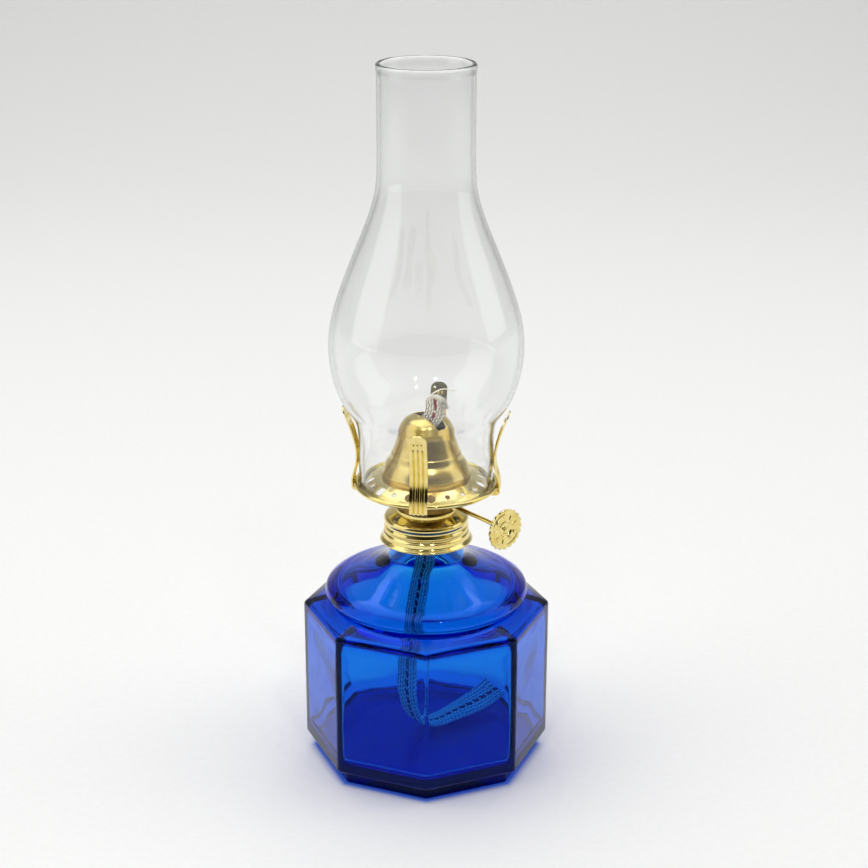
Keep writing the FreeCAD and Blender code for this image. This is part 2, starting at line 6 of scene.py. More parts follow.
import bpy
import numpy as np
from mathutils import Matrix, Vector


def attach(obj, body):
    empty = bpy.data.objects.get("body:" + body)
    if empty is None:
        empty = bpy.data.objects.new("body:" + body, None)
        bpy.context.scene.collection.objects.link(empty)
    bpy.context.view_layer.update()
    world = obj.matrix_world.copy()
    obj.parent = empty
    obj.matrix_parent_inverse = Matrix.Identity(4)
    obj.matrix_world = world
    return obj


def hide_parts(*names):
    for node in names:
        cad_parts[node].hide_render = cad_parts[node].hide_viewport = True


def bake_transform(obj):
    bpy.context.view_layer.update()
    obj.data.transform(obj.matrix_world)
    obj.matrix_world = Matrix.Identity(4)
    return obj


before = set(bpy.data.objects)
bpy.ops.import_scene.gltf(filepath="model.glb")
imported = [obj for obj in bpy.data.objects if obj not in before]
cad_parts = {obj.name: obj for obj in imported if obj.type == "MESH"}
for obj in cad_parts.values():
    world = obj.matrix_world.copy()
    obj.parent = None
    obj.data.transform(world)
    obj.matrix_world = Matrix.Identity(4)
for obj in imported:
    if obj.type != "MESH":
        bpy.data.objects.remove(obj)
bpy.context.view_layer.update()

# A flat-wick oil lamp: a cobalt glass font, a brass-plated burner with a side winder, and a clear chimney.
# Sizes are in millimetres and become metres in new_piece().

LOG = logging.getLogger("oil_lamp")
MM = 0.001
FRONT_PRONG = -96.1                     # azimuth of the front prong, degrees
SHAFT_AZIMUTH = FRONT_PRONG + 45.0
ALONG = np.array([math.cos(math.radians(SHAFT_AZIMUTH)), math.sin(math.radians(SHAFT_AZIMUTH)), 0.0])
UP = np.array([0.0, 0.0, 1.0])
ACROSS = np.cross(UP, ALONG)


class Slot(Enum):
    """The record's material slots."""

    BLUE_GLASS = "blue_glass"
    CLEAR_GLASS = "clear_glass"
    BRASS = "burner_brass"
    WHEEL_STEEL = "wheel_steel"
    RUBBER = "gasket_rubber"
    COTTON = "wick_cotton"


# ---- colours and nodes --------------------------------------------------------------------------
def linear(code: str) -> tuple[float, float, float, float]:
    """Turns an sRGB hex colour to linear.

    Args:
        code: six hex digits, with or without the sign in front.

    Returns:
        Red, green, blue and an alpha of one.
    """
    text = code.lstrip("#")
    parts = np.array([int(text[i:i + 2], 16) for i in (0, 2, 4)]) / 255.0
    out = np.where(parts <= 0.04045, parts / 12.92, ((parts + 0.055) / 1.055) ** 2.4)
    return (float(out[0]), float(out[1]), float(out[2]), 1.0)


def add_node(tree: bpy.types.NodeTree, kind: str, settings: dict | None = None,
             links: dict | None = None) -> bpy.types.Node:
    """Adds one node, sets it and links its inputs.

    Args:
        tree: the node tree.
        kind: the node's type name.
        settings: attribute names, or input names or numbers, and their values.
        links: input names or numbers, each with (node, output name or number).

    Returns:
        The new node.
    """
    made = tree.nodes.new(kind)
    for key, value in (settings or {}).items():
        if isinstance(key, str) and hasattr(made, key):
            setattr(made, key, value)
        else:
            made.inputs[key].default_value = value
    for key, (source, output) in (links or {}).items():
        tree.links.new(source.outputs[output], made.inputs[key])
    return made


def set_ramp(ramp: bpy.types.Node, stops: list[tuple[float, tuple[float, ...]]]) -> None:
    """Gives a colour ramp its stops, each a place and a colour."""
    elements = ramp.color_ramp.elements
    while len(elements) < len(stops):
        elements.new(1.0)
    for element, (place, colour) in zip(elements, stops):
        element.position = place
        element.color = colour


def new_material(name: str) -> tuple[bpy.types.Material, bpy.types.NodeTree, bpy.types.Node]:
    """A material with only an output node.

    Args:
        name: the material's name.

    Returns:
        The material, its tree and the output node.
    """
    made = bpy.data.materials.new(name)
    made.use_nodes = True
    made.node_tree.nodes.clear()
    return made, made.node_tree, add_node(made.node_tree, "ShaderNodeOutputMaterial")


# ---- finishes -----------------------------------------------------------------------------------
@dataclass(frozen=True)
class Glass:
    """Glass seen as glass, whose shadows let the light through."""

    name: str
    keeps: str                          # colour that gets through most
    density: float                      # absorption per metre
    ior: float = 1.52
    roughness: float = 0.0
    wave_mm: float = 14.0               # slow ripple of the surface
    wave_depth: float = 0.03            # millimetres
    body: str = "#FFFFFF"
    mirror: str = "#FFFFFF"             # tint of what its face mirrors
    edge: str = ""                      # tint where one looks along the wall, if any
    lets: float = 0.93                  # share of light that its shadow lets through, before absorption

    def make(self) -> bpy.types.Material:
        """Builds the material."""
        made, tree, out = new_material(self.name)
        place = add_node(tree, "ShaderNodeTexCoord")
        ripple = add_node(tree, "ShaderNodeTexNoise", {"Scale": 1.0 / (self.wave_mm * MM), "Detail": 1.0,
                                                       "Roughness": 0.4}, {"Vector": (place, "Object")})
        bump = add_node(tree, "ShaderNodeBump", {"Strength": 1.0, "Distance": self.wave_depth * MM},
                        {"Height": (ripple, "Fac")})
        glass = add_node(tree, "ShaderNodeBsdfPrincipled",
                         {"Base Color": linear(self.body), "Roughness": self.roughness, "IOR": self.ior,
                          "Transmission Weight": 1.0, "Specular Tint": linear(self.mirror)},
                         {"Normal": (bump, "Normal")})
        if self.edge:
            facing = add_node(tree, "ShaderNodeLayerWeight", {"Blend": 0.5})
            rim = add_node(tree, "ShaderNodeValToRGB", {}, {"Fac": (facing, "Facing")})
            set_ramp(rim, [(0.72, linear(self.body)), (0.97, linear(self.edge))])
            tree.links.new(rim.outputs["Color"], glass.inputs["Base Color"])
        clear = add_node(tree, "ShaderNodeBsdfTransparent", {"Color": (self.lets, self.lets, self.lets, 1.0)})
        path = add_node(tree, "ShaderNodeLightPath")
        mix = add_node(tree, "ShaderNodeMixShader", {},
                       {0: (path, "Is Shadow Ray"), 1: (glass, 0), 2: (clear, 0)})
        tree.links.new(mix.outputs[0], out.inputs["Surface"])
        if self.density > 0:
            soak = add_node(tree, "ShaderNodeVolumeAbsorption",
                            {"Color": linear(self.keeps), "Density": self.density})
            tree.links.new(soak.outputs[0], out.inputs["Volume"])
        return made


@dataclass(frozen=True)
class Plate:
    """Thin bright metal plating on pressed sheet, with faint drawing lines and small dulled places."""

    name: str
    colour: str
    deep: str
    roughness: float
    grain_mm: float = 0.9
    grain_depth: float = 0.0016
    spread: float = 0.3                 # how much the roughness varies

    def make(self) -> bpy.types.Material:
        """Builds the material."""
        made, tree, out = new_material(self.name)
        place = add_node(tree, "ShaderNodeTexCoord")
        lines = add_node(tree, "ShaderNodeMapping", {"Scale": (1.0, 1.0, 6.0)}, {"Vector": (place, "Object")})
        drawn = add_node(tree, "ShaderNodeTexNoise",
                         {"Scale": 1.0 / (self.grain_mm * MM) / 3.0, "Detail": 3.0}, {"Vector": (lines, 0)})
        cloud = add_node(tree, "ShaderNodeTexNoise", {"Scale": 1.0 / (7.0 * MM), "Detail": 2.0},
                         {"Vector": (place, "Object")})
        tone = add_node(tree, "ShaderNodeValToRGB", {}, {"Fac": (cloud, "Fac")})
        set_ramp(tone, [(0.35, linear(self.deep)), (0.6, linear(self.colour))])
        rough = add_node(tree, "ShaderNodeMapRange",
                         {"From Min": 0.3, "From Max": 0.75, "To Min": self.roughness * (1 - self.spread),
                          "To Max": self.roughness * (1 + self.spread)}, {"Value": (drawn, "Fac")})
        bump = add_node(tree, "ShaderNodeBump", {"Strength": 1.0, "Distance": self.grain_depth * MM},
                        {"Height": (drawn, "Fac")})
        metal = add_node(tree, "ShaderNodeBsdfPrincipled", {"Metallic": 1.0},
                         {"Base Color": (tone, "Color"), "Roughness": (rough, 0), "Normal": (bump, "Normal")})
        tree.links.new(metal.outputs[0], out.inputs["Surface"])
        return made


@dataclass(frozen=True)
class Dull:
    """Opaque material with a fine mottled face, such as rubber."""

    name: str
    light: str
    dark: str
    roughness: float
    metallic: float
    grain_mm: float

    def make(self) -> bpy.types.Material:
        """Builds the material."""
        made, tree, out = new_material(self.name)
        place = add_node(tree, "ShaderNodeTexCoord")
        grain = add_node(tree, "ShaderNodeTexNoise", {"Scale": 1.0 / (self.grain_mm * MM), "Detail": 5.0},
                         {"Vector": (place, "Object")})
        tone = add_node(tree, "ShaderNodeValToRGB", {}, {"Fac": (grain, "Fac")})
        set_ramp(tone, [(0.35, linear(self.dark)), (0.68, linear(self.light))])
        bump = add_node(tree, "ShaderNodeBump", {"Strength": 0.6, "Distance": 0.03 * MM},
                        {"Height": (grain, "Fac")})
        skin = add_node(tree, "ShaderNodeBsdfPrincipled",
                        {"Metallic": self.metallic, "Roughness": self.roughness},
                        {"Base Color": (tone, "Color"), "Normal": (bump, "Normal")})
        tree.links.new(skin.outputs[0], out.inputs["Surface"])
        return made


@dataclass(frozen=True)
class Cotton:
    """Braided cotton tape with a red tracer, and painted shade in the hollows between its stitches; its UV
    map is across and along the tape, in millimetres.
    """

    name: str = "braided_cotton"
    cream: str = "#FFF9EC"
    # painted shade: colour of the hollows between stitches, where the stitch value is low
    shade: str = "#6E5C50"
    tracer: str = "#8E1236"

    def make(self) -> bpy.types.Material:
        """Builds the material."""
        made, tree, out = new_material(self.name)
        uv = add_node(tree, "ShaderNodeUVMap", {"uv_map": "tape"})
        hollow = add_node(tree, "ShaderNodeAttribute", {"attribute_name": "stitch"})
        # painted shade: low stitch values, the hollows between stitches, turn to the darker colour
        tone = add_node(tree, "ShaderNodeValToRGB", {}, {"Fac": (hollow, "Fac")})
        set_ramp(tone, [(0.15, linear(self.shade)), (0.6, linear(self.cream))])
        mark = add_node(tree, "ShaderNodeAttribute", {"attribute_name": "tracer"})
        dyed = add_node(tree, "ShaderNodeMix", {"data_type": "RGBA"},
                        {0: (mark, "Fac"), 6: (tone, "Color")})
        dyed.inputs[7].default_value = linear(self.tracer)
        fibres = add_node(tree, "ShaderNodeTexNoise", {"Scale": 7.0, "Detail": 4.0}, {"Vector": (uv, 0)})
        bump = add_node(tree, "ShaderNodeBump", {"Strength": 0.8, "Distance": 0.06 * MM},
                        {"Height": (fibres, "Fac")})
        cloth = add_node(tree, "ShaderNodeBsdfPrincipled",
                         {"Roughness": 0.9, "Sheen Weight": 0.3, "Sheen Roughness": 0.4},
                         {"Base Color": (dyed, 2), "Normal": (bump, "Normal")})
        tree.links.new(cloth.outputs[0], out.inputs["Surface"])
        return made


# Pressed cobalt glass: cobalt oxide soaks up red first and green next, so thick places turn navy.
COBALT = Glass("pressed_cobalt_glass", "#00D8FB", 650.0, 1.52, 0.0, 16.0, 0.05, "#FFFFFF", "#5A86FF", "", 0.7)
# Blown soda-lime glass: nearly without colour, with a faint grey where one looks along the wall.
BLOWN = Glass("blown_clear_glass", "#E2E7E5", 90.0, 1.50, 0.0, 24.0, 0.02, "#FFFFFF", "#FFFFFF", "#70767A")
# Bright brass plate on pressed sheet steel: pale yellow gold that mirrors dark bands of the room.
BRASS = Plate("bright_brass_plate", "#F2E198", "#E8D07C", 0.13)
# The same plate on the drawn bell, whose face is satin from the press.
SATIN = Plate("satin_brass_plate", "#E6CF80", "#D9BC66", 0.235, 0.7, 0.0, 0.03)
# The throat under the dish: its brass colour is darkened, as painted shade for the shade under the dish.
SHADE_DARKENED_BRASS = Plate("shade_darkened_brass_plate", "#93733A", "#6A5026", 0.3, 0.9, 0.0016, 0.25)
# Zinc-plated steel of the small wheels inside.
ZINC = Plate("zinc_plated_steel", "#C9CCD0", "#A9ADB2", 0.3)
# Moulded nitrile rubber of the seal.
RUBBER = Dull("moulded_nitrile_rubber", "#2B2B2D", "#1B1B1C", 0.7, 0.0, 0.6)
COTTON = Cotton()


# ---- shapes -------------------------------------------------------------------------------------
def eased(points: np.ndarray, cuts: np.ndarray, steps: int = 5) -> np.ndarray:
    """Rounds the corners of a line, or of a whole sheet of lines at once.

    Each inner corner gives way to the parabola that leaves the side before it and joins the side after
    it at the same cut distance: (1-t)^2 start + 2t(1-t) corner + t^2 end.

    Args:
        points: corner points, rows first, coordinates last.
        cuts: cut distance of each row.
        steps: points on each rounded corner.

    Returns:
        The denser line, ends kept.
    """
    before, corner, after = points[:-2], points[1:-1], points[2:]
    to_before, to_after = before - corner, after - corner
    long_before = np.linalg.norm(to_before, axis=-1, keepdims=True)
    long_after = np.linalg.norm(to_after, axis=-1, keepdims=True)
    cut = np.reshape(np.asarray(cuts, float)[1:-1], (-1,) + (1,) * (points.ndim - 1))
    cut = np.clip(cut, 0.02, 0.48 * np.minimum(long_before, long_after))
    start = corner + to_before / np.maximum(long_before, 1e-9) * cut
    end = corner + to_after / np.maximum(long_after, 1e-9) * cut
    t = np.linspace(0.0, 1.0, steps).reshape((1, steps) + (1,) * (points.ndim - 1))
    curve = ((1 - t) ** 2 * start[:, None] + 2 * t * (1 - t) * corner[:, None] + t ** 2 * end[:, None])
    return np.concatenate([points[:1], curve.reshape((-1,) + points.shape[1:]), points[-1:]])


def through(points: list[tuple[float, ...]], count: int) -> np.ndarray:
    """Natural cubic spline through the points, by the length of its chords.

    Args:
        points: places to pass through.
        count: points wanted.

    Returns:
        Evenly spread points of the spline.
    """
    place = np.asarray(points, float)
    chord = np.concatenate([[0.0], np.cumsum(np.linalg.norm(np.diff(place, axis=0), axis=1))])
    gap = np.diff(chord)
    n = len(chord)
    grid = np.eye(n)
    inner = np.arange(1, n - 1)
    grid[inner, inner - 1], grid[inner, inner + 1] = gap[:-1], gap[1:]
    grid[inner, inner] = 2 * (gap[:-1] + gap[1:])
    slope = np.diff(place, axis=0) / gap[:, None]
    right = np.zeros_like(place)
    right[1:-1] = 6 * np.diff(slope, axis=0)
    bend = np.linalg.solve(grid, right)
    at = np.linspace(0.0, chord[-1], count)
    k = np.clip(np.searchsorted(chord, at, side="right") - 1, 0, n - 2)
    a, b, h = (chord[k + 1] - at)[:, None], (at - chord[k])[:, None], gap[k][:, None]
    return ((bend[k] * a ** 3 + bend[k + 1] * b ** 3) / (6 * h)
            + (place[k] / h - bend[k] * h / 6) * a + (place[k + 1] / h - bend[k + 1] * h / 6) * b)


def sheet_section(line: np.ndarray, thick: float) -> np.ndarray:
    """Closed section of sheet metal: the line out, and the line moved sideways by its thickness back.

    Args:
        line: outer face, as (radius, height) rows.
        thick: thickness to the left of the line's direction.

    Returns:
        Closed outline, the first point not repeated.
    """
    run = np.gradient(line, axis=0)
    run /= np.maximum(np.linalg.norm(run, axis=1, keepdims=True), 1e-9)
    moved = line + np.column_stack([-run[:, 1], run[:, 0]]) * thick
    return np.concatenate([line, moved[::-1]])


def turned(outline: np.ndarray, count: int = 192) -> np.ndarray:
    """Grid of an outline turned round the lamp's axis: (r cos a, r sin a, z).

    Args:
        outline: (radius, height) rows.
        count: columns round the axis.

    Returns:
        Grid of points, rows along the outline.
    """
    angle = np.linspace(0.0, 2 * math.pi, count, endpoint=False)
    r, z = outline[:, :1], outline[:, 1:2]
    return np.stack([r * np.cos(angle), r * np.sin(angle), z + 0 * angle], axis=-1)


@dataclass
class Skin:
    """Points and faces that become one mesh."""

    points: np.ndarray
    quads: np.ndarray
    tris: np.ndarray = field(default_factory=lambda: np.zeros((0, 3), int))

    @classmethod
    def of_grid(cls, grid: np.ndarray, rows_close: bool = False, poles: bool = False,
                columns_close: bool = True) -> "Skin":
        """Faces of a grid whose columns go round.

        Args:
            grid: rows by columns of points.
            rows_close: the last row joins the first.
            poles: a middle point closes each end row.
            columns_close: the last column joins the first.

        Returns:
            The skin, facing along (along the columns) x (along the rows).
        """
        rows, columns = grid.shape[:2]
        index = np.arange(rows * columns).reshape(rows, columns)
        below = index if rows_close else index[:-1]
        above = np.roll(index, -1, axis=0) if rows_close else index[1:]
        if columns_close:
            quads = np.stack([below, np.roll(below, -1, 1), np.roll(above, -1, 1), above], -1)
        else:
            quads = np.stack([below[:, :-1], below[:, 1:], above[:, 1:], above[:, :-1]], -1)
        points = grid.reshape(-1, 3)
        tris = np.zeros((0, 3), int)
        if poles:
            n = len(points)
            points = np.concatenate([points, grid[:1].mean(axis=1), grid[-1:].mean(axis=1)])
            first, last = index[0], index[-1]
            low = np.stack([np.full(columns, n), np.roll(first, -1), first], -1)
            high = np.stack([np.full(columns, n + 1), last, np.roll(last, -1)], -1)
            tris = np.concatenate([low, high])
        return cls(points, quads.reshape(-1, 4), tris)

    def plus(self, other: "Skin") -> "Skin":
        """Both skins as one."""
        n = len(self.points)
        return Skin(np.concatenate([self.points, other.points]),
                    np.concatenate([self.quads, other.quads + n]),
                    np.concatenate([self.tris, other.tris + n]))


def new_piece(name: str, skin: Skin, material: bpy.types.Material, sharp: float = 180.0,
              ) -> bpy.types.Object:
    """Makes the mesh object at the origin, smooth shaded.

    Args:
        name: the piece's name.
        skin: points in millimetres, and faces.
        material: its finish.
        sharp: edges that turn by more degrees than this look sharp.

    Returns:
        The object.
    """
    mesh = bpy.data.meshes.new(name)
    used = np.unique(np.concatenate([skin.quads.ravel(), skin.tris.ravel()]))
    renumber = np.full(len(skin.points), -1)
    renumber[used] = np.arange(len(used))
    faces = renumber[skin.quads].tolist() + renumber[skin.tris].tolist()
    mesh.from_pydata((skin.points[used] * MM).tolist(), [], faces)
    mesh.shade_smooth()
    if sharp < 180.0:
        mesh.set_sharp_from_angle(angle=math.radians(sharp))
    mesh.materials.append(material)
    mesh.validate()
    made = bpy.data.objects.new(name, mesh)
    bpy.context.scene.collection.objects.link(made)
    LOG.info("%s: %d points, %d faces", name, len(mesh.vertices), len(mesh.polygons))
    return made


def solidify(piece: bpy.types.Object, thick: float) -> None:
    """Gives a sheet its thickness, inwards from its face."""
    wall = piece.modifiers.new("wall", "SOLIDIFY")
    wall.thickness = thick * MM
    wall.offset = -1.0
    wall.use_even_offset = False


def step(value: np.ndarray, low: float, high: float) -> np.ndarray:
    """Smooth rise from 0 at low to 1 at high: 3t^2 - 2t^3."""
    t = np.clip((value - low) / (high - low), 0.0, 1.0)
    return t * t * (3 - 2 * t)


def dress(nodes: list[str], material: bpy.types.Material) -> None:
    """Gives CAD nodes that stay in view their finish."""
    for name in nodes:
        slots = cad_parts[name].data.materials
        slots.clear()
        slots.append(material)
        LOG.info("%s: kept, now %s", name, material.name)


# ---- the font -----------------------------------------------------------------------------------
@dataclass
class Font:
    """Pressed octagonal glass body with a ring groove, a dome, a screw neck and one hollow."""

    side: float = 53.7                  # middle to each flat panel
    foot: float = 48.4
    corner: float = 2.6                 # rounding of the upright corners
    panel_low: float = 7.9
    panel_top: float = 76.5
    groove_r: float = 45.4
    groove_z: float = 81.0
    wall: float = 4.0
    floor: float = 9.0
    neck_r: float = 17.1
    bore_r: float = 14.5
    neck_top: float = 119.4
    round_in: float = 1.6               # rounding of the hollow's upright corners
    ripple: float = 0.16                # waviness of the hollow's face
    per_side: int = 30                  # columns on each of the eight sides

    def angles(self) -> np.ndarray:
        """Directions round the axis, crowded at the eight corners: 22.5 (1 - cos pi u) on each side."""
        u = np.arange(self.per_side) / self.per_side
        one = 22.5 * (1 - np.cos(math.pi * u))
        return np.radians((np.arange(8)[:, None] * 45.0 + one).ravel())

    def octagon(self, side: np.ndarray, corner: np.ndarray) -> np.ndarray:
        """Radius of an octagon with rounded corners, corners at 0, 45, ... degrees.

        Off the middle of a side by angle f it is side / cos f. In the corner's reach, with e the angle
        from the corner and c the corner circle's distance from the axis, it is
        c cos e + sqrt(corner^2 - c^2 sin^2 e). A corner as big as the side gives a circle.

        Args:
            side: distance of the flats, one for each row.
            corner: rounding of the corners, one for each row.

        Returns:
            Radii, rows by directions.
        """
        angle = self.angles()[None, :]
        side, corner = side[:, None], corner[:, None]
        turn = (angle + math.pi / 8) % (math.pi / 4) - math.pi / 8
        centre = (side - corner) / math.cos(math.pi / 8)
        reach = np.arctan2(corner * math.sin(math.pi / 8), centre + corner * math.cos(math.pi / 8))
        arc = centre * np.cos(turn) + np.sqrt(np.maximum(corner ** 2 - (centre * np.sin(turn)) ** 2, 0.0))
        flat = side / np.cos(math.pi / 8 - np.abs(turn))
        return np.where(np.abs(turn) <= reach, arc, flat)

    def rows(self, table: list[tuple[float, float, float, float]]) -> np.ndarray:
        """Turns rows of (side, corner, height, cut) into a grid with eased edges.

        Args:
            table: one row for each edge of the outline; a negative corner means a circle.

        Returns:
            Grid of points.
        """
        data = np.array(table, float)
        corner = np.where(data[:, 1] < 0, data[:, 0], data[:, 1])
        radius = self.octagon(data[:, 0], corner)
        flat = np.stack([radius, np.repeat(data[:, 2:3], radius.shape[1], axis=1)], -1)
        line = eased(flat, data[:, 3], 7)
        angle = self.angles()
        r = line[..., 0]
        return np.stack([r * np.cos(angle), r * np.sin(angle), line[..., 1]], -1)

    def outside(self) -> list[tuple[float, float, float, float]]:
        """Rows of the outer face, from under the foot to the rim of the neck."""
        c = self.corner
        low = [(6.0, -1, 1.0, 1), (34.0, -1, 0.9, 3), (44.5, c, 0.0, 1.0), (self.foot, c, 0.0, 0.8),
               (self.foot + 0.7, c, 5.6, 0.8), (self.side, c, self.panel_low, 0.9),
               (self.side, c, self.panel_top, 1.7), (self.groove_r + 0.3, -1, self.groove_z - 0.1, 1.0),
               (self.groove_r + 0.4, -1, self.groove_z + 0.7, 0.5)]
        dome = [(47.1, -1, 81.9, 1.0), (47.8, -1, 83.8, 1.2), (46.9, -1, 86.8, 1.3), (43.0, -1, 89.6, 2.4),
                (36.8, -1, 91.5, 3.4), (30.8, -1, 93.6, 3.4), (23.5, -1, 96.8, 3.4), (18.3, -1, 100.2, 1.8),
                (self.neck_r, -1, 104.2, 1.8)]
        ridge = [(self.neck_r, -1, 113.9, 0.3), (18.35, -1, 115.0, 0.4), (self.neck_r, -1, 116.1, 0.3),
                 (18.35, -1, 117.2, 0.4), (self.neck_r, -1, 118.2, 0.3),
                 (self.neck_r, -1, self.neck_top, 0.5)]
        return low + dome + ridge

    def inside(self) -> list[tuple[float, float, float, float]]:
        """Rows of the hollow, from the rim of the neck down to its floor."""
        inner, round_in = self.side - self.wall, self.round_in
        top = self.panel_top - self.wall
        return [(self.bore_r, -1, self.neck_top, 0.5), (self.bore_r, -1, 103.0, 2.5), (17.4, -1, 96.9, 2.5),
                (21.3, -1, 92.8, 3.0), (28.6, -1, 89.6, 3.0), (34.6, -1, 87.4, 3.0), (40.2, -1, 85.4, 2.0),
                (41.4, -1, 82.0, 1.5), (41.4, -1, top + 1.2, 1.6), (inner - 1.5, round_in, top, 2.2),
                (inner, round_in, top - 4.0, 2.5), (inner, round_in, 56.0, 2.5), (inner, round_in, 44.0, 2.5),
                (inner, round_in, 32.0, 2.5), (inner, round_in, 22.0, 2.5),
                (inner, round_in, self.floor + 4.2, 3.6),
                (inner - 5.5, round_in, self.floor, 4.0), (24.0, -1, self.floor, 3.0),
                (6.0, -1, self.floor, 1)]

    def seam(self, grid: np.ndarray) -> np.ndarray:
        """Raises a faint mould line on the front and back corners: 0.12 exp(-(x / 0.4)^2)."""
        x, z = grid[..., 0], grid[..., 2]
        lift = 0.12 * np.exp(-(x / 0.4) ** 2) * (z > self.panel_low) * (z < self.panel_top)
        outer = np.arange(grid.shape[0])[:, None] < 7 * len(self.outside()) - 12
        grid[..., 1] += np.sign(grid[..., 1]) * lift * outer
        return grid

    def waves(self, grid: np.ndarray) -> np.ndarray:
        """Ripples the hollow's wall by sines of direction and height, fading to nought at its ends."""
        z = grid[..., 2]
        angle = np.arctan2(grid[..., 1], grid[..., 0])
        wave = (np.sin(5 * angle + z / 9.0) + np.sin(8 * angle - z / 7.0 + 1.3)
                + np.sin(3 * angle + z / 5.5 + 4.0)) / 1.8
        inner = np.arange(grid.shape[0])[:, None] > grid.shape[0] - 7 * 9
        size = self.ripple * wave * step(z, 9.5, 16.0) * (1 - step(z, 66.0, 72.0)) * inner
        radius = np.hypot(grid[..., 0], grid[..., 1])
        grid[..., :2] *= (1 + size / np.maximum(radius, 1.0))[..., None]
        return grid

    def build(self) -> bpy.types.Object:
        """Makes the font."""
        grid = self.waves(self.seam(self.rows(self.outside() + self.inside())))
        made = new_piece("font_glass", Skin.of_grid(grid, poles=True), COBALT.make())
        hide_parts("font")
        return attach(made, "font")


